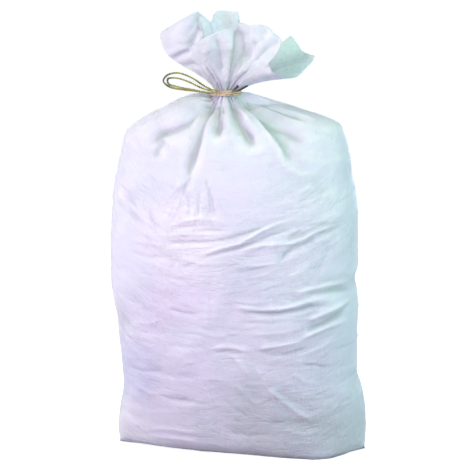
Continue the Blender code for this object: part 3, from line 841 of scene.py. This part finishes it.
def smooth_path(points, step):
    """A smooth curve through the points, cut into even steps."""
    p = np.asarray(points, float)
    gap = np.linalg.norm(np.diff(p, axis=0), axis=1)
    t = np.concatenate([[0], np.cumsum(gap ** 0.6)])
    m = np.empty_like(p)
    m[1:-1] = ((p[1:-1] - p[:-2]) / np.diff(t)[:-1, None] * np.diff(t)[1:, None] + (p[2:] - p[1:-1]) / np.diff(t)[1:, None] * np.diff(t)[:-1, None]) / (t[2:] - t[:-2])[:, None]
    m[0], m[-1] = (p[1] - p[0]) / (t[1] - t[0]), (p[-1] - p[-2]) / (t[-1] - t[-2])
    fine = []
    for i in range(len(p) - 1):
        h = t[i + 1] - t[i]
        s = np.linspace(0, 1, 40, endpoint=i == len(p) - 2)[:, None]
        fine.append(p[i] * (1 + 2 * s) * (1 - s) ** 2 + m[i] * h * s * (1 - s) ** 2 + p[i + 1] * s * s * (3 - 2 * s) - m[i + 1] * h * s * s * (1 - s))
    fine = np.concatenate(fine)
    far = np.concatenate([[0], np.cumsum(np.linalg.norm(np.diff(fine, axis=0), axis=1))])
    n = max(4, int(round(far[-1] / step)))
    q = np.linspace(0, far[-1], n + 1)
    return np.stack([np.interp(q, far, fine[:, k]) for k in range(3)], 1), float(far[-1])


def frames(path):
    """Two directions across the path at each point that turn as little as they can."""
    tangent = np.gradient(path, axis=0)
    tangent /= np.linalg.norm(tangent, axis=1, keepdims=True)
    side = np.empty_like(path)
    first = np.cross(tangent[0], (0.3, 0.2, 1.0))
    side[0] = first / np.linalg.norm(first)
    for i in range(1, len(path)):
        d = side[i - 1] - tangent[i] * (side[i - 1] @ tangent[i])
        side[i] = d / np.linalg.norm(d)
    return tangent, side, np.cross(tangent, side)


def strand(path, step, radius, pitch, plies=2, segments=12, taper=0.0, seed=1):
    """A tube along the path whose section has one lobe for each ply, turning once in each pitch."""
    tangent, a, b = frames(path)
    m = len(path)
    far = np.arange(m) * step
    th = np.arange(segments) / segments * 2 * math.pi
    turn = 2 * math.pi * far / pitch
    swell = 1 + 0.05 * np.sin(far / 0.0071 + seed) + 0.04 * np.sin(far / 0.0029 + 2 * seed)
    ends = np.minimum(1.0, np.minimum(far, far[-1] - far) / max(taper, 1e-9)) if taper else np.ones(m)
    lobes = 0.70 + 0.30 * np.abs(np.cos(plies / 2 * (th[None, :] - turn[:, None]))) ** 0.8
    r = radius * lobes * (swell * (0.25 + 0.75 * ends))[:, None]
    ring = path[:, None] + r[..., None] * (a[:, None] * np.cos(th)[None, :, None] + b[:, None] * np.sin(th)[None, :, None])
    verts = ring.reshape(-1, 3)
    faces, uvs = [], []
    for i in range(m - 1):
        for k in range(segments):
            k2 = (k + 1) % segments
            faces.append((i * segments + k, i * segments + k2, (i + 1) * segments + k2, (i + 1) * segments + k))
            w0, w1 = k / segments - turn[i] / (2 * math.pi), k / segments - turn[i + 1] / (2 * math.pi)
            uvs.append(((far[i], w0), (far[i], w0 + 1 / segments), (far[i + 1], w1 + 1 / segments), (far[i + 1], w1)))
    top = (m - 1) * segments
    verts = np.concatenate([verts, path[:1], path[-1:]])
    for k in range(segments):
        k2 = (k + 1) % segments
        faces.append((len(verts) - 2, k2, k))
        uvs.append(((0, 0), (0, 0.1), (0, 0.2)))
        faces.append((len(verts) - 1, top + k, top + k2))
        uvs.append(((far[-1], 0), (far[-1], 0.1), (far[-1], 0.2)))
    groove = ((lobes - 0.70) / 0.30).ravel()
    return verts, faces, uvs, np.concatenate([groove, [1, 1]])


def merge(parts):
    verts, faces, uvs, marks = [], [], [], []
    base = 0
    for v, f, t, g in parts:
        verts.append(v)
        faces += [tuple(i + base for i in face) for face in f]
        uvs += t
        marks.append(g)
        base += len(v)
    return np.concatenate(verts), faces, uvs, np.concatenate(marks)


def bight(points):
    return [np.array((x, y, TIE_Z + z)) for x, y, z in points]


OUTER = bight([(-.0600, -.0290, .0130), (-.0800, -.0310, .0260), (-.1035, -.0300, .0335), (-.1210, -.0280, .0290), (-.1270, -.0270, .0200),
               (-.1180, -.0280, .0110), (-.0980, -.0300, .0065), (-.0720, -.0300, .0040)])
INNER = bight([(-.0620, -.0330, .0090), (-.0850, -.0350, .0200), (-.1050, -.0345, .0255), (-.1190, -.0320, .0235), (-.1180, -.0315, .0160),
               (-.1020, -.0335, .0110), (-.0750, -.0340, .0060)])
route = [around(49, .0074, .0205), around(44, .0068, .0140), around(33, .0048, .0070), around(20, .0026, .0036)]
for q in range(0, 24):
    share = q / 23
    route.append(around(9 - 397 * share, .0018, .0030 - 0.0031 * share))
route += [around(-36, .0032, .0022)] + OUTER + [around(-40, .0040, -.0016), around(-31, .0046, -.0014), around(-27, .0062, .0004), around(-31, .0072, .0022), around(-37, .0062, .0024)]
route += INNER + [around(-41, .0056, -.0018), around(-32, .0044, -.0024)]
for q in range(0, 26):
    share = q / 25
    route.append(around(-22 + 410 * share, .0018 + .0016 * steps(share, 0.92, 1.0), -.0031 + 0.0033 * steps(share, 0.84, 1.0)))
route += [around(41, .0048, .0016), around(49, .0072, .0042), around(57, .0112, .0084), around(63, .0160, .0124)]
STEP = 0.0006
twine_path, twine_length = smooth_path(route, STEP)
pieces = [strand(twine_path, STEP, TWINE_D / 2, 0.0078, segments=12)]
v, f, t, g = merge(pieces)
twine = new_mesh("tie_twine_strand", v, f, t, {"groove": g})

# the knot: the working end passes twice round the foot of both bights
away = np.array((math.sin(math.radians(-36)), -math.cos(math.radians(-36)), 0.0))
axis = np.array((-0.93, -0.30, 0.22))
axis /= np.linalg.norm(axis)
ua = np.cross(axis, (0, 0, 1.0))
ua /= np.linalg.norm(ua)
ub = np.cross(axis, ua)
knot_at = np.array((NECK_X, 0, TIE_Z)) + away * (NECK_R + .0042) + np.array((-0.0030, 0.0, 0.0006))
wraps = [knot_at + axis * (-.0030 + .0060 * q) + (ua * math.cos(q * 4.6 * math.pi + 0.6) * .0042 + ub * math.sin(q * 4.6 * math.pi + 0.6) * .0040) for q in np.linspace(0, 1, 34)]
knot_path, knot_length = smooth_path(wraps, 0.0006)
v, f, t, g = merge([strand(knot_path, 0.0006, TWINE_D / 2, 0.0078, segments=10, taper=0.002, seed=4)])
knot = new_mesh("tie_twine_knot", v, f, t, {"groove": g})

# the bottom seam's chain stitches, where the hem still shows at the left of the front; from there it runs under
stitches = []
hem_x = np.arange(-0.199, -0.050, 0.0066)
front_part = grid[: NECK_ROW // 3, BACK_COLS:]
front_n = normals(grid)[: NECK_ROW // 3, BACK_COLS:]
for i, x0 in enumerate(hem_x):
    up = 0.0155 - 0.0125 * steps(x0, -0.17, -0.05)
    ends = []
    for x in (x0, x0 + 0.0022, x0 + 0.0044):
        gap = (front_part[..., 0] - x) ** 2 + (front_part[..., 2] - up) ** 2 + 10 * (front_part[..., 1] > 0)
        near = np.argsort(gap.ravel())[:4]
        share = 1 / (gap.ravel()[near] + 1e-8)
        share /= share.sum()
        at = (front_part.reshape(-1, 3)[near] * share[:, None]).sum(0)
        out = (front_n.reshape(-1, 3)[near] * share[:, None]).sum(0)
        ends.append((at, out / np.linalg.norm(out)))
    pts = [ends[0][0] - ends[0][1] * 0.0004, ends[0][0] + ends[0][1] * 0.0005, ends[1][0] + ends[1][1] * 0.0008, ends[2][0] + ends[2][1] * 0.0005, ends[2][0] - ends[2][1] * 0.0004]
    line, _ = smooth_path(pts, 0.0005)
    stitches.append(strand(line, 0.0005, 0.00055, 0.003, segments=6, taper=0.0006, seed=i))
v, f, t, g = merge(stitches)
seam_thread = new_mesh("hem_stitches", v, f, t, {"groove": g})

# the plies' fibres come apart at the two cut ends and a few stand off the twine
rng = np.random.default_rng(31)
hairs = []


def hair(root, way, long, thick):
    pts = [root]
    for q in range(4):
        way = way + rng.normal(size=3) * 0.22
        way /= np.linalg.norm(way)
        pts.append(pts[-1] + way * long / 4)
    line, _ = smooth_path(pts, long / 8)
    hairs.append(strand(line, long / 8, thick, 1.0, plies=2, segments=4, taper=long * 0.6))


for end, back in ((twine_path[0], twine_path[6]), (twine_path[-1], twine_path[-7])):
    way = (end - back) / np.linalg.norm(end - back)
    for _ in range(9):
        hair(end - way * 0.001 + rng.normal(size=3) * 0.0005, way + rng.normal(size=3) * 0.28, rng.uniform(0.0025, 0.0055), 0.00022)
tangent, side_a, side_b = frames(twine_path)
for i in rng.integers(20, len(twine_path) - 20, 60):
    q = rng.uniform(0, 2 * math.pi)
    out = side_a[i] * math.cos(q) + side_b[i] * math.sin(q)
    hair(twine_path[i] + out * TWINE_D * 0.36, out * 0.6 + tangent[i] * rng.choice((-1, 1)), rng.uniform(0.002, 0.0045), 0.00012)
v, f, t, g = merge(hairs)
fuzz = new_mesh("tie_twine_fibres", v, f, t, {"groove": g})


# ------------------------------------------------------------------ materials
def new_material(name, colour, roughness):
    made = bpy.data.materials.new(name)
    made.use_nodes = True
    shader = made.node_tree.nodes["Principled BSDF"]
    shader.inputs["Base Color"].default_value = (*colour, 1.0)
    shader.inputs["Roughness"].default_value = roughness
    return made, shader


class Wires:
    """Short ways to make shader nodes."""

    def __init__(self, material):
        self.tree = material.node_tree

    def node(self, kind, **settings):
        made = self.tree.nodes.new(kind)
        for key, value in settings.items():
            setattr(made, key, value)
        return made

    def put(self, socket, value):
        if isinstance(value, bpy.types.NodeSocket):
            self.tree.links.new(value, socket)
        else:
            socket.default_value = value

    def math(self, what, a, b=0.0, c=0.0, clamp=False):
        made = self.node("ShaderNodeMath", operation=what, use_clamp=clamp)
        for socket, value in zip(made.inputs, (a, b, c)):
            self.put(socket, value)
        return made.outputs[0]

    def noise(self, where, scale, detail=4.0, rough=0.5, warp=0.0):
        made = self.node("ShaderNodeTexNoise")
        self.put(made.inputs["Vector"], where)
        made.inputs["Scale"].default_value = scale
        made.inputs["Detail"].default_value = detail
        made.inputs["Roughness"].default_value = rough
        made.inputs["Distortion"].default_value = warp
        return made.outputs["Fac"]

    def ramp(self, value, a, b, low=0.0, high=1.0):
        made = self.node("ShaderNodeMapRange", interpolation_type="SMOOTHSTEP")
        self.put(made.inputs["Value"], value)
        made.inputs["From Min"].default_value = a
        made.inputs["From Max"].default_value = b
        made.inputs["To Min"].default_value = low
        made.inputs["To Max"].default_value = high
        return made.outputs["Result"]

    def mix(self, share, a, b, way="MIX"):
        made = self.node("ShaderNodeMix", data_type="RGBA", blend_type=way)
        self.put(made.inputs[0], share)
        self.put(made.inputs[6], a if isinstance(a, bpy.types.NodeSocket) else (*a, 1.0))
        self.put(made.inputs[7], b if isinstance(b, bpy.types.NodeSocket) else (*b, 1.0))
        return made.outputs[2]

    def attribute(self, name):
        return self.node("ShaderNodeAttribute", attribute_name=name).outputs["Fac"]

    def bump(self, height, distance, strength=1.0, on=None):
        made = self.node("ShaderNodeBump")
        self.put(made.inputs["Height"], height)
        made.inputs["Distance"].default_value = distance
        made.inputs["Strength"].default_value = strength
        if on is not None:
            self.put(made.inputs["Normal"], on)
        return made.outputs["Normal"]


TAPE = 0.0027                                   # the weave's tapes, in metres


def weave(w, u, v):
    """A plain weave of flat tapes: its height, and 1 where an upright tape is on top."""
    su, sv = w.math("DIVIDE", u, TAPE), w.math("DIVIDE", v, TAPE)
    iu, iv = w.math("FLOOR", su), w.math("FLOOR", sv)
    fu, fv = w.math("FRACT", su), w.math("FRACT", sv)
    odd = w.math("PINGPONG", w.math("ADD", iu, iv), 1.0)
    odd = w.math("GREATER_THAN", odd, 0.5)
    across = w.math("ABSOLUTE", w.math("SUBTRACT", fu, 0.5))
    up = w.math("ABSOLUTE", w.math("SUBTRACT", fv, 0.5))
    # flat in the middle, dropping at its two edges, and bowed along its length
    flat_a = w.math("SUBTRACT", w.ramp(across, 0.36, 0.5, 1.0, 0.0), w.math("MULTIPLY", w.math("MULTIPLY", up, up), 1.6))
    flat_b = w.math("SUBTRACT", w.ramp(up, 0.36, 0.5, 1.0, 0.0), w.math("MULTIPLY", w.math("MULTIPLY", across, across), 1.6))
    height = w.math("ADD", w.math("MULTIPLY", flat_a, odd), w.math("MULTIPLY", flat_b, w.math("SUBTRACT", 1.0, odd)))
    return height, odd, iu, iv


cloth, cloth_shader = new_material("woven_polypropylene", (0.87, 0.85, 0.965), 0.48)
w = Wires(cloth)
uv = w.node("ShaderNodeUVMap", uv_map="cloth").outputs["UV"]
split = w.node("ShaderNodeSeparateXYZ")
w.put(split.inputs[0], uv)
place_at = w.node("ShaderNodeTexCoord").outputs["Object"]
height, odd, iu, iv = weave(w, split.outputs[0], split.outputs[1])
crease = w.attribute("crease")
inside = w.attribute("inside")
# every tape is a slightly different white
tape_u = w.node("ShaderNodeTexWhiteNoise", noise_dimensions="1D")
w.put(tape_u.inputs["W"], iu)
tape_v = w.node("ShaderNodeTexWhiteNoise", noise_dimensions="1D")
w.put(tape_v.inputs["W"], iv)
tape = w.math("ADD", w.math("MULTIPLY", tape_u.outputs["Value"], odd), w.math("MULTIPLY", tape_v.outputs["Value"], w.math("SUBTRACT", 1.0, odd)))
parts = w.node("ShaderNodeSeparateXYZ")
w.put(parts.inputs[0], place_at)
clouds = w.noise(place_at, 9.0, 4.0, 0.55, 0.6)
small = w.noise(place_at, 46.0, 5.0, 0.6, 0.4)
white = w.mix(w.ramp(clouds, 0.34, 0.68), (0.885, 0.86, 0.965), (0.845, 0.885, 0.945))
white = w.mix(w.math("MULTIPLY", tape, 0.10), white, (0.74, 0.76, 0.84))
# painted shade where each tape dips at its edges and ends
white = w.mix(w.math("MULTIPLY", w.ramp(height, 0.05, 0.75, 1.0, 0.0), 0.16), white, (0.66, 0.67, 0.74))
# folds: painted highlight, paler where they stand out, and painted shade, greyer in the hollows, along the hairlines'
# valleys and, green-grey, in the wide hollows
white = w.mix(w.ramp(crease, 0.08, 0.9, 0.0, 0.55), white, (0.95, 0.95, 0.99))
white = w.mix(w.ramp(crease, -0.08, -1.5, 0.0, 0.36), white, (0.62, 0.64, 0.66))
white = w.mix(w.ramp(w.attribute("hairline"), -0.1, -0.9, 0.0, 0.46), white, (0.56, 0.58, 0.64))
white = w.mix(w.ramp(w.attribute("hollow"), -0.5, -4.0, 0.0, 0.46), white, (0.50, 0.56, 0.53))
# broad faint patches of painted light and painted shade that bring the cloth nearer to the tones of the photograph,
# which shows no stains as such
bare = w.noise(place_at, 5.0, 3.0, 0.6, 0.8)


def painted_patch(on, x, z, reach, share, colour):
    """A soft patch on the front, of painted light where its colour is pale and painted shade where it is dark, round a
    place given by x and z, with its edge broken up by noise.
    """
    du = w.math("DIVIDE", w.math("SUBTRACT", parts.outputs[0], x), reach)
    dv = w.math("DIVIDE", w.math("SUBTRACT", parts.outputs[2], z), reach)
    far = w.math("ADD", w.math("MULTIPLY", du, du), w.math("MULTIPLY", dv, dv))
    far = w.math("ADD", far, w.math("MULTIPLY", w.math("SUBTRACT", bare, 0.5), 1.2))
    front = w.ramp(parts.outputs[1], 0.02, -0.02)
    return w.mix(w.math("MULTIPLY", w.ramp(far, 1.6, 0.0, 0.0, share), front), on, colour)


# painted light in the pale patches (the first, the pinkish second and the fifth), painted shade in the darker ones (the
# green-grey third in the frill's middle, the bluish fourth, the grey sixth and the blue-grey seventh)
white = painted_patch(white, -0.09, 0.37, 0.075, 0.9, (0.965, 0.955, 0.985))
white = painted_patch(white, -0.10, 0.275, 0.050, 0.45, (0.94, 0.85, 0.985))
white = painted_patch(white, -0.002, 0.660, 0.019, 0.6, (0.66, 0.75, 0.72))
white = painted_patch(white, -0.19, 0.14, 0.055, 0.6, (0.72, 0.76, 0.93))
white = painted_patch(white, -0.19, 0.03, 0.045, 0.8, (0.95, 0.97, 1.0))
white = painted_patch(white, 0.03, 0.09, 0.060, 0.5, (0.64, 0.69, 0.72))
white = painted_patch(white, 0.02, 0.30, 0.045, 0.4, (0.68, 0.74, 0.82))
# a faint grey speckle, and painted shade that greys the cloth towards the bottom, most on the right
lowness = w.math("MULTIPLY", w.ramp(parts.outputs[2], 0.15, 0.04), w.ramp(parts.outputs[0], -0.10, 0.03, 0.35, 1.0))
dust_and_low_shade = w.math("ADD", w.math("MULTIPLY", w.ramp(small, 0.50, 0.72), 0.10), w.math("MULTIPLY", lowness, w.ramp(clouds, 0.25, 0.6, 0.16, 0.40)))
white = w.mix(dust_and_low_shade, white, (0.70, 0.70, 0.70))
# a darker band along the lowest edge, painted shade where the sack meets the floor, for the dark line that the
# photograph shows there
white = w.mix(w.ramp(parts.outputs[2], 0.0105, 0.0020, 0.0, 0.72), white, (0.28, 0.29, 0.34))
# the inside of the frill: painted light, a pale lining turning cyan towards the right, for the light from the right and
# the light through the cloth, under a random bluish mottle
lining = w.mix(w.ramp(parts.outputs[0], 0.03, 0.075), (0.86, 0.87, 1.0), (0.72, 0.98, 1.0))
mottle = w.noise(place_at, 130.0, 3.0, 0.6, 0.5)
lining = w.mix(w.math("MULTIPLY", w.ramp(mottle, 0.50, 0.66), 0.42), lining, (0.36, 0.60, 0.74))
white = w.mix(w.math("MULTIPLY", inside, w.ramp(small, 0.3, 0.7, 0.6, 0.9)), white, lining)
w.put(cloth_shader.inputs["Base Color"], white)
w.put(cloth_shader.inputs["Roughness"], w.math("ADD", w.math("MULTIPLY", small, 0.22), w.math("ADD", 0.36, w.math("MULTIPLY", tape, 0.08))))
cloth_shader.inputs["Specular IOR Level"].default_value = 0.42
cloth_shader.inputs["Sheen Weight"].default_value = 0.10
cloth_shader.inputs["Sheen Roughness"].default_value = 0.4
cloth_shader.inputs["Subsurface Weight"].default_value = 0.12
cloth_shader.inputs["Subsurface Radius"].default_value = (0.010, 0.010, 0.011)
cloth_shader.inputs["Subsurface Scale"].default_value = 0.5
# fine crumples in the tape cloth, stretched level and upright as its threads run
mapped = w.node("ShaderNodeMapping")
w.put(mapped.inputs["Vector"], uv)
mapped.inputs["Scale"].default_value = (13.0, 42.0, 1.0)
level = w.noise(mapped.outputs["Vector"], 1.0, 6.0, 0.66, 1.1)
mapped2 = w.node("ShaderNodeMapping")
w.put(mapped2.inputs["Vector"], uv)
mapped2.inputs["Scale"].default_value = (60.0, 16.0, 1.0)
upright = w.noise(mapped2.outputs["Vector"], 1.0, 4.0, 0.60, 0.7)
crumple = w.math("ADD", w.math("MULTIPLY", w.math("ABSOLUTE", w.math("SUBTRACT", level, 0.5)), -1.6), w.math("MULTIPLY", w.math("ABSOLUTE", w.math("SUBTRACT", upright, 0.5)), -0.9))
crumple = w.math("MULTIPLY", crumple, w.ramp(w.noise(place_at, 6.0, 2.0), 0.36, 0.62, 0.42, 1.0))
first = w.bump(crumple, 0.0052, 0.8, w.bump(w.attribute("hairline"), 0.001, 0.9))
second = w.bump(height, 0.00026, 0.7, first)
w.put(cloth_shader.inputs["Normal"], second)
sack.data.materials.append(cloth)
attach(sack, "root")
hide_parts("sack")

thread, thread_shader = new_material("seam_thread", (0.82, 0.82, 0.86), 0.6)
w = Wires(thread)
uv = w.node("ShaderNodeUVMap", uv_map="cloth").outputs["UV"]
mapped = w.node("ShaderNodeMapping")
w.put(mapped.inputs["Vector"], uv)
mapped.inputs["Scale"].default_value = (900.0, 30.0, 1.0)
fibre = w.noise(mapped.outputs["Vector"], 1.0, 3.0, 0.6)
w.put(thread_shader.inputs["Base Color"], w.mix(w.ramp(fibre, 0.3, 0.7), (0.66, 0.66, 0.72), (0.90, 0.90, 0.95)))
w.put(thread_shader.inputs["Normal"], w.bump(fibre, 0.0002, 0.5))
seam_thread.data.materials.append(thread)
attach(seam_thread, "root")

straw, straw_shader = new_material("twine", (0.50, 0.42, 0.20), 0.7)
w = Wires(straw)
uv = w.node("ShaderNodeUVMap", uv_map="cloth").outputs["UV"]
groove = w.attribute("groove")
mapped = w.node("ShaderNodeMapping")
w.put(mapped.inputs["Vector"], uv)
mapped.inputs["Scale"].default_value = (260.0, 22.0, 1.0)
fibre = w.noise(mapped.outputs["Vector"], 1.0, 3.0, 0.6, 0.3)
place_at = w.node("ShaderNodeTexCoord").outputs["Object"]
patchy = w.noise(place_at, 55.0, 3.0, 0.6)
olive = w.mix(w.ramp(fibre, 0.35, 0.65), (0.25, 0.23, 0.055), (0.62, 0.56, 0.17))
split = w.node("ShaderNodeSeparateXYZ")
w.put(split.inputs[0], place_at)
tan = w.mix(w.ramp(fibre, 0.35, 0.65), (0.62, 0.44, 0.27), (0.86, 0.68, 0.47))
band = w.math("MULTIPLY", w.ramp(split.outputs[0], -0.052, -0.044), w.ramp(split.outputs[2], 0.6075, 0.6035))
olive = w.mix(band, olive, tan)
# painted shadow: the two cut ends at the upper right go nearly black
shadowed_end = w.math("MULTIPLY", w.ramp(split.outputs[0], -0.016, -0.009), w.ramp(split.outputs[2], 0.6015, 0.6045))
olive = w.mix(w.math("MULTIPLY", shadowed_end, 0.93), olive, (0.02, 0.022, 0.026))
# painted shade in the grooves between the plies
olive = w.mix(w.ramp(groove, 0.45, 0.0, 0.0, 0.72), olive, (0.07, 0.06, 0.025))
olive = w.mix(w.ramp(patchy, 0.46, 0.64, 0.0, 0.62), olive, (0.075, 0.08, 0.03))
far_end = w.math("MULTIPLY", w.ramp(split.outputs[0], -0.102, -0.122), 0.55)
olive = w.mix(far_end, olive, (0.055, 0.065, 0.03))
w.put(straw_shader.inputs["Base Color"], olive)
w.put(straw_shader.inputs["Roughness"], w.math("ADD", 0.55, w.math("MULTIPLY", fibre, 0.3)))
straw_shader.inputs["Specular IOR Level"].default_value = 0.30
straw_shader.inputs["Sheen Weight"].default_value = 0.15
w.put(straw_shader.inputs["Normal"], w.bump(fibre, 0.0003, 0.6))
for piece in (twine, knot, fuzz):
    piece.data.materials.append(straw)
    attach(piece, "root")
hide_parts("tie_twine")


# ------------------------------------------------------------------ the floor, the camera and the lights
FAR = 60.0
floor_mesh = bpy.data.meshes.new("floor")
floor_mesh.from_pydata([(-FAR, -FAR, -0.0006), (FAR, -FAR, -0.0006), (FAR, FAR, -0.0006), (-FAR, FAR, -0.0006)], [], [(0, 1, 2, 3)])
floor = bpy.data.objects.new("floor", floor_mesh)
bpy.context.scene.collection.objects.link(floor)
floor_paint, floor_shader = new_material("pale_floor", (0.93, 0.93, 0.94), 0.9)
floor_shader.inputs["Specular IOR Level"].default_value = 0.0
floor_shader.inputs["Emission Color"].default_value = (1.0, 1.0, 1.0, 1.0)
floor_shader.inputs["Emission Strength"].default_value = 0.80
floor.visible_diffuse = False
floor_mesh.materials.append(floor_paint)

# a plain white wall all round, far off, which the camera sees past the floor's edge; it lights nothing
turns = np.linspace(0, 2 * math.pi, 49)[:-1]
wall_points = [(30.0 * math.cos(q), 30.0 * math.sin(q), h) for h in (-0.5, 30.0) for q in turns]
wall_faces = [(k, (k + 1) % 48, 48 + (k + 1) % 48, 48 + k) for k in range(48)] + [tuple(range(48, 96))]
wall_mesh = bpy.data.meshes.new("backdrop")
wall_mesh.from_pydata(wall_points, [], wall_faces)
backdrop = bpy.data.objects.new("backdrop", wall_mesh)
bpy.context.scene.collection.objects.link(backdrop)
wall_paint, wall_shader = new_material("pale_wall", (0.0, 0.0, 0.0), 1.0)
wall_shader.inputs["Specular IOR Level"].default_value = 0.0
wall_shader.inputs["Emission Color"].default_value = (1.0, 1.0, 1.0, 1.0)
wall_shader.inputs["Emission Strength"].default_value = 1.0
for way in ("diffuse", "glossy", "transmission", "volume_scatter", "shadow"):
    setattr(backdrop, "visible_" + way, False)
wall_mesh.materials.append(wall_paint)

camera_data = bpy.data.cameras.new("camera")
camera_data.sensor_width = 36.0
camera_data.lens = SCALE * 36.0 * DIST / 470.0
camera_data.clip_end = 200.0
camera = bpy.data.objects.new("camera", camera_data)
bpy.context.scene.collection.objects.link(camera)
camera.location = EYE
camera.rotation_mode = "QUATERNION"
camera.rotation_quaternion = Vector(-BACK).to_track_quat("-Z", "Y")
bpy.context.scene.camera = camera


def area_light(name, place_at, aim, size, power, colour):
    data = bpy.data.lights.new(name, "AREA")
    data.shape = "RECTANGLE"
    data.size, data.size_y = size
    data.energy = power
    data.color = colour
    obj = bpy.data.objects.new(name, data)
    obj.location = place_at
    obj.rotation_mode = "QUATERNION"
    obj.rotation_quaternion = (Vector(aim) - Vector(place_at)).to_track_quat("-Z", "Y")
    bpy.context.scene.collection.objects.link(obj)
    return obj


def lamp(name, place_at, size, watts):
    """A soft panel aimed at the sack; watts is the power in red, green and blue."""
    power = max(watts)
    return area_light(name, place_at, (0, 0, 0.36), (size, size), power, tuple(q / power for q in watts))


lamp("key", (-0.80, -1.05, 1.30), 0.5, (5.6, 5.85, 5.0))
lamp("near_left", (-0.45, -0.85, 0.42), 0.5, (2.00, 0.36, 2.50))
lamp("left", (-1.50, -0.40, 0.60), 0.5, (8.20, 9.30, 8.10))
lamp("right", (1.50, -0.50, 0.60), 0.5, (4.60, 7.10, 8.50))
lamp("top", (0.0, -0.20, 1.80), 0.5, (3.10, 2.80, 2.66))
lamp("front_right", (0.40, -0.90, 0.90), 0.5, (2.85, 4.30, 2.80))
lamp("behind", (-0.60, 1.55, 1.05), 0.5, (15.0, 14.8, 14.4))
lamp("behind_right", (0.75, 1.50, 0.55), 0.6, (5.0, 5.5, 6.0))
world = bpy.data.worlds.new("world")
bpy.context.scene.world = world
world.use_nodes = True
world.node_tree.nodes["Background"].inputs["Color"].default_value = (0.80, 0.89, 1.0, 1)
world.node_tree.nodes["Background"].inputs["Strength"].default_value = 0.28
bpy.context.scene.view_settings.view_transform = "Standard"
